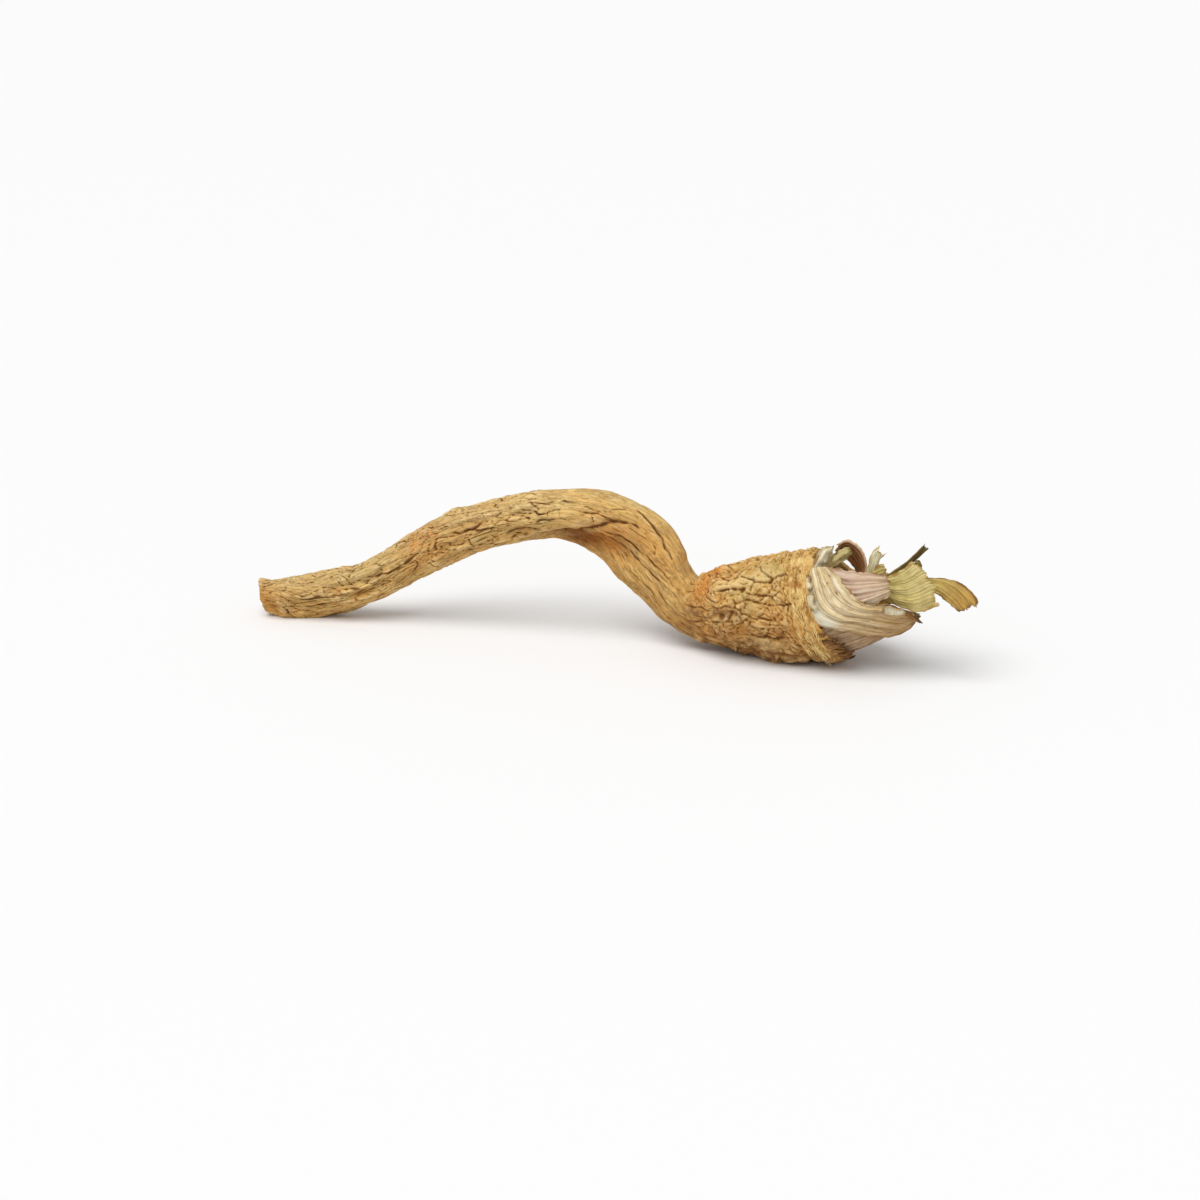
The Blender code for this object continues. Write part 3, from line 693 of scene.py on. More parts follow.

# %% [markdown]
# ## Colours of places on the skin
# The root isn't one colour: a painted shadow lies in the groove under the bend's ridge, gold on the bend and
# the neck, and a paler ash tone on top of the arch. The gold and the ash are also painted light, on the bend's
# upper front and on top. The crown has orange, brown, green and pale patches, and painted shade on its pit and
# underneath. They could be painted by hand on an image. Here each colour is a layer of numbers, one for each
# point, drawn as soft spots where the real root has its colours and where the painted light and shade fall.

# %% Colour layers of the skin
# Each tint's spots: millimetres along, degrees round, length, width and strength.
TINTS = {
    "skin_orange": [
        (141, 4, 4.5, 5, 1.0),
        (139, 26, 4, 6, 0.9),
        (138, 44, 3.5, 4, 0.7),
        (122, 22, 5, 3, 0.4),
        (112, 60, 4, 2, 0.6),
        (104, 64, 1.5, 1.5, 0.7),
        (160, 98, 7, 4, 0.35),
        (52, 45, 6, 5, 0.6),
        (112, 15, 12, 8, 0.3),
        (105, 96, 7, 5, 0.85),
        (2, 100, 5, 5, 0.5),
        (119, 58, 9, 3, 0.5),
        (141, 114, 5, 3, 0.6),
        (149, 105, 4, 3, 0.5),
        (158, 88, 6, 4, 0.35),
        (167, 95, 4, 4, 0.5),
    ],
    # Brown patches of the crown; the spot on the pit and the wide spot underneath are painted shade.
    "skin_brown_and_shade": [
        (147, 77, 6, 1.6, 0.9),
        (157, 131, 10, 3.4, 1.0),
        (145, 124, 5, 2.4, 0.6),
        (168, 135, 5, 4, 1.0),
        (166, 66, 4, 1.2, 0.5),
        # Painted shade underneath the crown.
        (152, 180, 26, 18, 1.0),
        # Painted shade in the pit.
        (146, 80, 1.4, 1.4, 1.0),
        (148, 78, 4.5, 3.0, 0.55),
        (138, 84, 7, 1.8, 0.7),
        (143, 112, 8, 2, 0.6),
    ],
    "skin_green": [
        (159, 26, 7, 4, 0.9),
        (151, 52, 5, 3, 0.7),
        (153, 72, 4, 2.5, 0.5),
        (107, 355, 9, 5, 0.6),
        (166, 14, 4, 4, 0.5),
        (30, 40, 12, 4, 0.4),
    ],
    "skin_pale": [
        (151, 35, 8, 1.8, 0.9),
        (147, 41, 4, 1.4, 0.7),
        (157, 117, 4, 1.6, 0.7),
        (169, 16, 2.6, 4, 0.8),
        (156, 116, 4, 2, 0.7),
        (104, 8, 14, 5, 0.6),
        (91, 48, 12, 5, 0.5),
        (127, 352, 6, 4, 0.7),
        (123, 32, 8, 4, 0.45),
        (120, 95, 16, 1.5, 0.4),
    ],
}
# Painted shadow: a dark orange-brown band in the groove of the bend, under the overhanging ridge.
RIDGE_SHADOW, RIDGE_SHADOW_WIDTH = (LENGTH - 72, 14), 0.55
RIDGE_SHADOW_TWIST = (LENGTH - 76, LENGTH - 58)
# The gold on the bend is the skin's own colour and also painted light, brightening the bend's upper front as
# more light would.
BEND_GOLD_AND_LIGHT, BEND_GOLD_AND_LIGHT_WIDTH = (LENGTH - 57, 28), 1.4
NECK_GOLD, NECK_GOLD_SHARE = (LENGTH - 9, LENGTH - 3), 0.6
# On top of the tail and the arch the skin is paler: its own ash tone and painted light from above.
ASH_AND_LIGHT_ENDS = (LENGTH - 84, LENGTH - 70)
CROWN_COLOUR = (LENGTH - 42, LENGTH - 30)
PATCH_SIZE, PATCH_SEED = 1.8, 58


def skin_regions(turn, along, radius, place):
    """The colour layers of the skin: how strongly each colour shows at each point."""
    groove_turn = np.radians(152 - 60 * ramp(along, *RIDGE_SHADOW_TWIST))
    bend_gold_and_light = bump(turn, math.radians(65), BEND_GOLD_AND_LIGHT_WIDTH) * bump(along, *BEND_GOLD_AND_LIGHT)
    layers = {
        # Painted shadow under the ridge of the bend.
        "skin_ridge_shadow": bump(turn, groove_turn, RIDGE_SHADOW_WIDTH) * bump(along, *RIDGE_SHADOW),
        # Gold at the neck; on the bend the gold is also painted light.
        "skin_gold_and_light": np.maximum(bend_gold_and_light, NECK_GOLD_SHARE * ramp(along, *NECK_GOLD)),
        # The paler top of the tail and the arch: ash tone and painted light from above.
        "skin_ash_and_light": ramp(np.cos(turn), 0.1, 0.9) * (1 - ramp(along, *ASH_AND_LIGHT_ENDS)),
        "skin_crown": ramp(along, *CROWN_COLOUR),
    }
    uneven = 1 + 0.9 * lattice_noise(place / PATCH_SIZE, PATCH_SEED)
    for name, spots in TINTS.items():
        layers[name] = np.clip(near_spots(turn, along, radius, spots) * uneven, 0, 1)
    return layers


skin_radius = np.linalg.norm(skin_place[..., :2], axis=-1)
skin_layers = {"skin_hollow": skin_hollow, "skin_crevice": skin_crevice, "skin_dark": skin_dark}
skin_layers.update(skin_regions(skin_turn, skin_along, skin_radius, skin_place))
ridge_shadow_share = float((skin_layers["skin_ridge_shadow"] > 0.5).mean())
print("rust covers", round(100 * ridge_shadow_share, 1), "percent of the skin")

# %% [markdown]
# ## Node groups for dried plants
# Root skin and dry leaf share three effects: long fibres, thin lines along them and soft blotches. A net of
# cracks is on the crown alone. A group holds each effect once, and each material sets its own sizes. A group
# could also mix the colours, but then every material would need the same number of colours. So the groups put
# out only masks, and each material mixes its own colours.

# %% Tones, values and links
SCREEN_CURVE = 2.2


def tone(red, green, blue):
    """A colour given as it looks on a screen, from 0 to 255, as the shader wants it."""
    return tuple((v / 255) ** SCREEN_CURVE for v in (red, green, blue))


def feed(tree, value, socket):
    """Gives an input socket a tone, a number or a link from an output socket."""
    if isinstance(value, tuple):
        socket.default_value = (*value, 1)
    elif isinstance(value, (int, float)):
        socket.default_value = value
    else:
        tree.links.new(value, socket)


def maths(tree, operation, first, second):
    """The output of a Math node whose two inputs are sockets or numbers."""
    node = tree.nodes.new("ShaderNodeMath")
    node.operation = operation
    feed(tree, first, node.inputs[0])
    feed(tree, second, node.inputs[1])
    return node.outputs[0]


def times(tree, first, second):
    """A value times another."""
    return maths(tree, "MULTIPLY", first, second)


def opposite(tree, value):
    """One less a value, so that a mask covers what it left out."""
    return maths(tree, "SUBTRACT", 1.0, value)


def limited(tree, value, low, high):
    """A value read as 0 at low and 1 at high, smooth between them."""
    node = tree.nodes.new("ShaderNodeMapRange")
    node.interpolation_type = "SMOOTHSTEP"
    feed(tree, value, node.inputs["Value"])
    feed(tree, low, node.inputs["From Min"])
    feed(tree, high, node.inputs["From Max"])
    return node.outputs["Result"]


print("a middle grey on a screen is", round(tone(128, 128, 128)[0], 2), "in the shader")


# %% Mixes
def blended(tree, share, first, second):
    """The output of a Mix node between two colours, each a socket or a tone."""
    node = tree.nodes.new("ShaderNodeMix")
    node.data_type = "RGBA"
    for name, value in zip(("Factor", "A", "B"), (share, first, second)):
        feed(tree, value, next(s for s in node.inputs if s.name == name and s.enabled))
    return next(s for s in node.outputs if s.enabled)


def mixed(tree, share, first, second):
    """The output of a Mix node between two values, each a socket or a number."""
    node = tree.nodes.new("ShaderNodeMix")
    for socket, value in zip(node.inputs[:1] + node.inputs[2:4], (share, first, second)):
        feed(tree, value, socket)
    return node.outputs[0]


def layered(tree, colour, coats):
    """A colour with coats laid over it in turn. A coat is its mask, its share and its colour."""
    for mask, share, coat in coats:
        colour = blended(tree, times(tree, mask, share), colour, coat)
    return colour


print("colours are laid over one another as coats")


# %% What the groups are made of
# The values of a noise that a group reads as 0 and as 1.
FIBRE_RANGE, BLOTCH_RANGE = (0.3, 0.7), (0.42, 0.66)


def new_group(name, sizes, masks):
    """An empty node group that takes a place and sizes and puts out masks: itself, its inputs and outputs."""
    group = bpy.data.node_groups.new(name, "ShaderNodeTree")
    group.interface.new_socket("Place", in_out="INPUT", socket_type="NodeSocketVector")
    for way, names in (("INPUT", sizes), ("OUTPUT", masks)):
        for socket_name in names:
            group.interface.new_socket(socket_name, in_out=way, socket_type="NodeSocketFloat")
    return group, group.nodes.new("NodeGroupInput").outputs, group.nodes.new("NodeGroupOutput").inputs


def divided(tree, place, size):
    """A place divided by a size, so that a pattern of one unit gets that size."""
    node = tree.nodes.new("ShaderNodeVectorMath")
    node.operation = "DIVIDE"
    feed(tree, place, node.inputs[0])
    feed(tree, size, node.inputs[1])
    return node.outputs[0]


def drawn_out(tree, place, given):
    """A place divided by the group's Across on its first two axes and by its Length on the third."""
    node = tree.nodes.new("ShaderNodeCombineXYZ")
    for axis, name in zip("XYZ", ("Across", "Across", "Length")):
        feed(tree, given[name], node.inputs[axis])
    return divided(tree, place, node.outputs[0])


def texture(tree, kind, place, scale=1.0):
    """A texture node read at a place."""
    node = tree.nodes.new(kind)
    node.inputs["Scale"].default_value = scale
    feed(tree, place, node.inputs["Vector"])
    return node


def fibre_noise(tree, given):
    """Noise that is short across the fibres and long along them, from 0 to 1."""
    noise = texture(tree, "ShaderNodeTexNoise", drawn_out(tree, given["Place"], given))
    noise.inputs["Detail"].default_value = 4.0
    noise.inputs["Roughness"].default_value = 0.6
    return limited(tree, noise.outputs[0], *FIBRE_RANGE)


print("every group takes a place and its sizes in the same unit")


# %% Fibres, lines and blotches
def fibre_group():
    """Long fibres, from 0 to 1."""
    group, given, result = new_group("long_fibres", ["Across", "Length"], ["Fibres"])
    feed(group, fibre_noise(group, given), result["Fibres"])
    return group


def line_group():
    """Thin lines where the noise of the fibres passes its middle: creases that run along them."""
    group, given, result = new_group("thin_lines", ["Across", "Length", "Width"], ["Lines"])
    past_middle = maths(group, "SUBTRACT", fibre_noise(group, given), 0.5)
    away = maths(group, "ABSOLUTE", past_middle, 0.0)
    feed(group, opposite(group, limited(group, away, 0.0, given["Width"])), result["Lines"])
    return group


def blotch_group():
    """Soft blotches of the given size, from 0 to 1."""
    group, given, result = new_group("dry_blotches", ["Size"], ["Blotches"])
    noise = texture(group, "ShaderNodeTexNoise", divided(group, given["Place"], given["Size"]))
    noise.inputs["Detail"].default_value = 3.0
    feed(group, limited(group, noise.outputs[0], *BLOTCH_RANGE), result["Blotches"])
    return group


LONG_FIBRES, THIN_LINES, DRY_BLOTCHES = fibre_group(), line_group(), blotch_group()
print("groups:", LONG_FIBRES.name, THIN_LINES.name, DRY_BLOTCHES.name)

# %% Net of cracks
NET_DRIFT, NET_DRIFT_SCALE = 2.4, 0.45


def crack_group():
    """A net of thin cracks between plates, and a value that differs from plate to plate."""
    group, given, result = new_group("dry_cracks", ["Across", "Length", "Width"], ["Cracks", "Plate"])
    drift = texture(group, "ShaderNodeTexNoise", given["Place"], NET_DRIFT_SCALE)
    drift.inputs["Detail"].default_value = 3.0
    moved = group.nodes.new("ShaderNodeVectorMath")
    moved.operation = "MULTIPLY_ADD"
    moved.inputs[1].default_value = (NET_DRIFT, NET_DRIFT, NET_DRIFT)
    feed(group, drift.outputs["Color"], moved.inputs[0])
    feed(group, given["Place"], moved.inputs[2])
    net_place = drawn_out(group, moved.outputs[0], given)
    edges = texture(group, "ShaderNodeTexVoronoi", net_place)
    edges.feature = "DISTANCE_TO_EDGE"
    inside = maths(group, "DIVIDE", edges.outputs["Distance"], given["Width"])
    feed(group, opposite(group, limited(group, inside, 0.0, 1.0)), result["Cracks"])
    plates = texture(group, "ShaderNodeTexVoronoi", net_place)
    feed(group, plates.outputs["Color"], result["Plate"])
    return group


DRY_CRACKS = crack_group()
print("group for the crown alone:", DRY_CRACKS.name)


# %% Use in a material
def place_group(tree, group, place, **sizes):
    """A group placed in a material, fed with a place and its own sizes. Returns its outputs."""
    node = tree.nodes.new("ShaderNodeGroup")
    node.node_tree = group
    feed(tree, place, node.inputs["Place"])
    for name, size in sizes.items():
        feed(tree, size, node.inputs[name])
    return node.outputs[0] if len(node.outputs) == 1 else list(node.outputs)


def read_layer(tree, name, output="Fac"):
    """A value that the mesh keeps for each of its points."""
    node = tree.nodes.new("ShaderNodeAttribute")
    node.attribute_name = name
    return node.outputs[output]


def add_bump(tree, shader, height, distance, strength):
    """Feeds a height to the shader's normal. The distance is in millimetres."""
    node = tree.nodes.new("ShaderNodeBump")
    node.inputs["Strength"].default_value = strength
    node.inputs["Distance"].default_value = distance * MM
    feed(tree, height, node.inputs["Height"])
    feed(tree, node.outputs["Normal"], shader.inputs["Normal"])


print("layers that the skin keeps:", len(skin_layers))

# %% [markdown]
# ## The root skin's finish
# Dried root skin is matt and straw coloured. Soil and painted shade keep the hollows and thin crevices brown,
# the ridges get a painted highlight, and fibres streak both. A photograph of bark could colour it, but the
# hollows here are known from the relief, so the soil and the painted shade fall exactly into them.

# %% Tones of the root
STRAW = tone(228, 190, 120)
TAN = tone(196, 148, 80)
# Dark soil in the texture's cracks, and soil with painted shade in the thin slits, creases and pits.
DARK_SOIL_AND_SHADE = tone(96, 58, 24)
SHADE = tone(138, 90, 38)
# The pale of the painted highlight on ridges.
RIDGE_HIGHLIGHT = tone(244, 220, 166)
# The dark orange-brown of the painted shadow under the ridge.
RIDGE_SHADOW_BROWN = tone(126, 64, 20)
GOLD = tone(240, 190, 106)
ASH = tone(220, 200, 146)
CROWN_BROWN = tone(160, 108, 44)
ORANGE = tone(206, 132, 56)
MOSS = tone(186, 166, 104)
# The coats of the skin in turn: mask, share and tone.
SKIN_COATS = [
    ("skin_crown", 0.42, CROWN_BROWN),
    ("orange spots", 0.35, ORANGE),
    ("moss spots", 0.4, MOSS),
    # Ash tone and painted light from above, on top of the tail and the arch.
    ("skin_ash_and_light", 0.5, ASH),
    # Gold is the skin's own colour; on the bend's upper front it is also painted light.
    ("skin_gold_and_light", 0.85, GOLD),
    # Painted highlight on the ridges.
    ("ridge_highlights", 0.5, RIDGE_HIGHLIGHT),
    ("specks", 0.35, TAN),
    ("streaks", 0.3, TAN),
    # Painted shadow under the ridge.
    ("ridge_shadow", 1.0, RIDGE_SHADOW_BROWN),
    ("skin_orange", 0.65, tone(208, 124, 38)),
    ("skin_green", 0.6, tone(188, 168, 104)),
    ("skin_pale", 0.65, tone(232, 206, 144)),
    # Brown patches, and painted shade on the pit and underneath.
    ("skin_brown_and_shade", 0.75, tone(104, 58, 28)),
    ("cracks", 0.5, DARK_SOIL_AND_SHADE),
    # Soil and painted shade in the wide hollows.
    ("soil_and_shade", 1.0, SHADE),
    # Soil and painted shade in the thin crevices, creases and pits.
    ("slits", 1.0, DARK_SOIL_AND_SHADE),
]
print("coats on the root:", len(SKIN_COATS))

# %% Root finish
SKIN_ROUGHNESS, SKIN_SHINE = 0.82, 0.25


def skin_pattern(tree, place, crown):
    """Fine fibres, broad fibres, specks, cracks and plates. Cracks run along the root and net its crown."""
    fine = place_group(tree, LONG_FIBRES, place, Across=0.5, Length=5.0)
    broad = place_group(tree, LONG_FIBRES, place, Across=2.2, Length=12.0)
    specks = place_group(tree, DRY_BLOTCHES, place, Size=0.7)
    clouds = place_group(tree, DRY_BLOTCHES, place, Size=2.4)
    long_lines = place_group(tree, THIN_LINES, place, Across=1.3, Length=9.0, Width=0.12)
    hair_lines = place_group(tree, THIN_LINES, place, Across=0.6, Length=7.0, Width=0.16)
    lines = maths(tree, "MAXIMUM", long_lines, times(tree, hair_lines, 0.5))
    net, net_plate = place_group(tree, DRY_CRACKS, place, Across=1.4, Length=1.5, Width=0.14)
    cracks = mixed(tree, crown, lines, times(tree, net, clouds))
    plate = mixed(tree, crown, broad, mixed(tree, 0.5, net_plate, broad))
    return fine, broad, specks, cracks, plate


def root_finish():
    """Straw skin with soil and painted shade in the hollows and thin creases, painted highlights on the ridges,
    and streaks of fibre.
    """
    made, shader = plain_finish("root_skin", STRAW, SKIN_ROUGHNESS)
    shader.inputs["Specular IOR Level"].default_value = SKIN_SHINE
    tree = made.node_tree
    place = read_layer(tree, "fibre_place", "Vector")
    masks = {name: read_layer(tree, name) for name in skin_layers}
    crown, hollow, crevice = masks["skin_crown"], masks["skin_hollow"], masks["skin_crevice"]
    fine, broad, specks, cracks, plate = skin_pattern(tree, place, crown)
    depth = maths(tree, "ADD", hollow, times(tree, crevice, 2.0))
    # Thin crevices, narrow drawn creases and pits get soil and painted shade.
    drawn = limited(tree, masks["skin_dark"], 0.2, 0.8)
    thin_cut_soil_and_shade = maths(tree, "MAXIMUM", limited(tree, crevice, 0.025, 0.12), drawn)
    masks["orange spots"] = place_group(tree, DRY_BLOTCHES, place, Size=5.0)
    masks["moss spots"] = place_group(tree, DRY_BLOTCHES, place, Size=3.7)
    # Painted highlight where the skin stands higher than its surroundings.
    masks["ridge_highlights"] = limited(tree, times(tree, depth, -1.0), 0.03, 0.45)
    masks["specks"], masks["streaks"], masks["cracks"] = specks, opposite(tree, fine), cracks
    # Painted shadow under the ridge, broken up by the broad fibres.
    masks["ridge_shadow"] = times(tree, masks["skin_ridge_shadow"], mixed(tree, broad, 0.9, 0.65))
    # Soil and painted shade in the wide hollows, standing in for the shade that gathers there.
    masks["soil_and_shade"] = times(tree, limited(tree, hollow, 0.05, 0.6), mixed(tree, crown, 0.6, 0.75))
    # Soil and painted shade in the thin crevices, a little weaker on the crown.
    masks["slits"] = times(tree, thin_cut_soil_and_shade, mixed(tree, crown, 0.85, 0.65))
    coats = [(masks[name], share, coat) for name, share, coat in SKIN_COATS]
    colour = layered(tree, blended(tree, plate, TAN, STRAW), coats)
    feed(tree, colour, shader.inputs["Base Color"])
    raised = times(tree, mixed(tree, 0.4, fine, specks), 0.6)
    add_bump(tree, shader, maths(tree, "SUBTRACT", raised, times(tree, cracks, 0.6)), 0.2, 0.7)
    return made


ROOT_SKIN = root_finish()
print("nodes in the root's finish:", len(ROOT_SKIN.node_tree.nodes))

# %% [markdown]
# ## The ends of the root and the whole skin
# The tail was cut, and its face dried in a dish round the pith. At the crown the skin laps raggedly over the
# leaf bases, and the heart lies wrinkled between them. Both ends could be flat caps, but a cap shows at once
# as a cut cylinder. So each end is closed by rings that shrink to one point.

# %% Ends of the root
REST_DEPTH = 0.7
# Rings of the cut tail: share of the last ring's size, and how far in.
TAIL_RINGS = [(0.93, -0.25), (0.8, -0.1), (0.6, 0.25), (0.38, 0.1), (0.16, 0.35)]
# Rings of the lap: share of its reach past the neck, and share of the neck's size.
LAP_RINGS = [(0.35, 1.0), (0.65, 0.995), (0.9, 0.98), (1.0, 0.955), (0.8, 0.92)]
# How far the lap reaches: degrees round, and millimetres past the neck.
LAP_REACH = [(0, 1.8), (25, 2.2), (45, 1.3), (65, 0.8), (85, 1.5), (97, 2.3), (110, 3.6), (130, 4.2)]
LAP_REACH += [(165, 3.0), (210, 1.6), (260, 2.2), (310, 1.2), (360, 1.8)]
# Rings of the heart: millimetres past the neck, and radius.
HEART = [(0.3, 11.9), (2.5, 9.8), (4.8, 6.8), (6.4, 3.8)]
HEART_TIP = 7.2
HEART_RINGS = 8


def crown_polar(along, radius, degrees):
    """A point round the crown's axis: 0 degrees is up, 90 the side that shows and 180 down."""
    angle = np.radians(degrees)
    along, radius = np.asarray(along)[..., None], np.asarray(radius)[..., None]
    around = np.cos(angle)[..., None] * UPWARD + np.sin(angle)[..., None] * FORWARD
    return NECK + along * ALONG + radius * around


def tail_cut_rings(first_ring):
    """Rings that close the cut tail: a rough face, dished towards its pith."""
    middle = first_ring.mean(axis=0)
    rough = lattice_noise(first_ring / 1.3, 60)[:, None] * np.array([0.35, 0.0, 0.0])
    rings = []
    for share, dish in TAIL_RINGS[::-1]:
        rings.append(middle + share * (first_ring - middle) + np.array([dish, 0.0, 0.0]) + share * rough)
    return np.array(rings)


def heart_rings():
    """Rings over the heart of the crown, past the neck, wrinkled like packed leaf bases."""
    degrees = np.arange(SIDES) * 360 / SIDES
    shares = np.linspace(0, 1, HEART_RINGS)
    past, radius = read_curve(HEART, np.linspace(0, 1, len(HEART)), shares).T
    turn, radius_grid = np.meshgrid(np.radians(degrees), radius)
    folds = 0.35 * np.sin(9 * turn + radius_grid) * np.minimum(radius_grid / 6, 1)
    return crown_polar(np.broadcast_to(past[:, None], turn.shape) + folds, radius_grid, np.degrees(turn))


def lap_rings(neck_ring):
    """Rings that carry the neck's skin a little way over the leaf bases, to a ragged edge."""
    degrees = np.arange(SIDES) * 360 / SIDES
    angle = np.radians(degrees)
    ragged = np.stack([np.cos(angle), np.sin(angle), 0 * degrees], axis=-1) * 7
    reach = np.interp(degrees, *np.array(LAP_REACH, float).T) * (1 + 0.45 * lattice_noise(ragged, 61))
    middle = neck_ring.mean(axis=0)
    inward = np.stack([middle + share * (neck_ring - middle) for _, share in LAP_RINGS])
    past = np.array([past for past, _ in LAP_RINGS])[:, None] * reach
    return inward + past[..., None] * ALONG


print("rings past the neck:", len(LAP_RINGS) + HEART_RINGS)


# %% Faces between rings
def ring_quads(index):
    """Quads between neighbouring rings of point numbers."""
    after = np.roll(index, -1, axis=1)
    return np.stack([index[:-1], after[:-1], after[1:], index[1:]], axis=-1).reshape(-1, 4)


def bridge(ring, double_ring):
    """Triangles between a ring and the next one, which has twice as many points."""
    after, between, even = np.roll(ring, -1), double_ring[1::2], double_ring[::2]
    first, second = np.stack([ring, between, even], axis=-1), np.stack([ring, after, between], axis=-1)
    return np.concatenate([first, second, np.stack([after, np.roll(even, -1), between], axis=-1)])


def cap(ring, tip):
    """Triangles from a ring to one point."""
    return np.stack([ring, np.roll(ring, -1), np.full_like(ring, tip)], axis=-1)


def root_faces(ring_count, crown_row):
    """Quads and triangles of the skin. Before the crown a ring uses every second point."""
    index = np.arange(ring_count * SIDES).reshape(ring_count, SIDES)
    thin, thick = index[:crown_row, ::2], index[crown_row:]
    quads = np.concatenate([ring_quads(thin), ring_quads(thick)])
    caps = [cap(thin[0, ::-1], index.size), cap(thick[-1], index.size + 1)]
    return quads, np.concatenate([bridge(thin[-1], thick[0]), *caps])


print("points in a ring of the tail and of the crown:", SIDES // 2, SIDES)

# %% Build the root
TIP_VALUE = 0.3


def keep_layer(made, name, values):
    """Stores a number or a vector for each point of a mesh, for its material."""
    vector = values.shape[-1] == 3 and values.ndim > 1
    kind, field = ("FLOAT_VECTOR", "vector") if vector else ("FLOAT", "value")
    layer = made.data.attributes.new(name, kind, "POINT")
    layer.data.foreach_set(field, values.astype(np.float32).ravel())


def root_layers(tail, heart):
    """What the material reads: the skin's layers and places, spread over both ends and their tips."""
    shares = np.array([share for share, _ in TAIL_RINGS[::-1]])[:, None]
    spread = {}
    for name, grid in skin_layers.items():
        rows = np.concatenate([grid[:1] * shares, grid, np.repeat(grid[-1:], len(heart), 0)])
        spread[name] = np.concatenate([rows.ravel(), [TIP_VALUE, TIP_VALUE]])
    inner_place = np.arange(1, len(heart) + 1)[:, None, None] * np.array([0.0, 0.0, 0.5])
    rows = np.concatenate([skin_place[:1] * shares[..., None], skin_place, skin_place[-1:] + inner_place])
    spread["fibre_place"] = np.vstack([rows.reshape(-1, 3), [[0, 0, 0]], skin_place[-1:, 0]])
    return spread


def build_root():
    """The whole skin as one closed mesh that rests where the plain solid rests."""
    tail = tail_cut_rings(skin_points[0])
    heart = np.concatenate([lap_rings(skin_points[-1]), heart_rings()])
    rings = np.concatenate([tail, skin_points, heart])
    points = np.vstack([rings.reshape(-1, 3), rings[0].mean(axis=0), NECK + HEART_TIP * ALONG])
    settled = points[:, 2] - REST_DEPTH * (1 - ramp(points[:, 2], REST_DEPTH, 5 * REST_DEPTH))
    points[:, 2] = np.maximum(settled, 0.0)
    quads, triangles = root_faces(len(rings), len(tail) + FIRST_CROWN_ROW)
    used, numbers = np.unique(np.concatenate([quads.ravel(), triangles.ravel()]), return_inverse=True)
    faces = numbers[:quads.size].reshape(-1, 4).tolist()
    faces += numbers[quads.size:].reshape(-1, 3).tolist()
    made = bpy.data.meshes.new("root_skin")
    made.from_pydata(((points[used] - BOX_MIDDLE) * MM).tolist(), [], faces)
    made.shade_smooth()
    made.materials.append(ROOT_SKIN)
    piece = bpy.data.objects.new("root_skin", made)
    bpy.context.scene.collection.objects.link(piece)
    for name, values in root_layers(tail, heart).items():
        keep_layer(piece, name, values[used])
    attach(piece, "root")
    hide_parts("root")
    return piece


root_piece = build_root()
print("root faces:", len(root_piece.data.polygons))

# %% [markdown]
# ## Dry leaf bases
# A leaf stalk of parsley is a ribbed half pipe that wraps the crown at its base. Dried, it is paper thin,
# with ribs along it and torn edges. A subdivided plane with a Solidify modifier could do, but its rim would
# be square. Here each sheet is a grid laid on a smooth surface, whose two faces come together at the edges.

# %% Surfaces of the sheets
def wrap_surface(stations):
    """A surface round the crown. A station is the distance past the neck, radius, first and last angle."""
    at = np.linspace(0, 1, len(stations))

    def surface(u, v):
        along, radius, first, last = np.moveaxis(read_curve(stations, at, u), -1, 0)
        return crown_polar(along, radius, first + (last - first) * v)

    return surface


def grid_normals(grid):
    """Unit normals of a grid of points."""
    return unit(np.cross(np.gradient(grid, axis=0), np.gradient(grid, axis=1)))


def between_edges(upper_edge, lower_edge):
    """Points between two edges that are smooth curves: a function of the shares along and across."""
    upper_at, lower_at = np.linspace(0, 1, len(upper_edge)), np.linspace(0, 1, len(lower_edge))

    def points(u, v):
        upper, lower = read_curve(upper_edge, upper_at, u), read_curve(lower_edge, lower_at, u)
        return upper * (1 - v[..., None]) + lower * v[..., None]

    return points


def swirl_surface(upper_edge, lower_edge):
    """A surface round the crown between two edges of (distance past the neck, radius, angle) points."""
    points = between_edges(upper_edge, lower_edge)

    def surface(u, v):
        return crown_polar(*np.moveaxis(points(u, v), -1, 0))

    return surface


def strap_surface(upper_edge, lower_edge, arch):
    """A surface between two edges in the crown's frame, arched across by the given height."""
    points = between_edges(upper_edge, lower_edge)

    def surface(u, v):
        middle = NECK + points(u, v) @ np.array([ALONG, UPWARD, FORWARD])
        return middle - grid_normals(middle) * (arch * 4 * v * (1 - v))[..., None]

    return surface


print("surfaces for wraps, swirls and straps are ready")

# %% Grid of a sheet
SHEET_ROW_STEP, SHEET_COLUMN_STEP = 0.34, 0.22
SIDE_TEAR = {"dry_green_stalk": 0.4, "dry_curved_stalk": 0.6}


def real_size(grid):
    """The length and the width of a grid of points, in millimetres."""
    down, over = (np.linalg.norm(np.diff(grid, axis=axis), axis=-1).sum(axis=axis) for axis in (0, 1))
    return float(down.max()), float(over.max())


def sheet_shares(surface):
    """Shares along and across a sheet, as close together as its real size needs."""
    coarse = np.meshgrid(np.linspace(0, 1, 16), np.linspace(0, 1, 16), indexing="ij")
    down, over = real_size(surface(*coarse))
    rows, columns = int(down / SHEET_ROW_STEP) + 12, int(over / SHEET_COLUMN_STEP) + 8
    return np.meshgrid(np.linspace(0, 1, rows), np.linspace(0, 1, columns), indexing="ij")


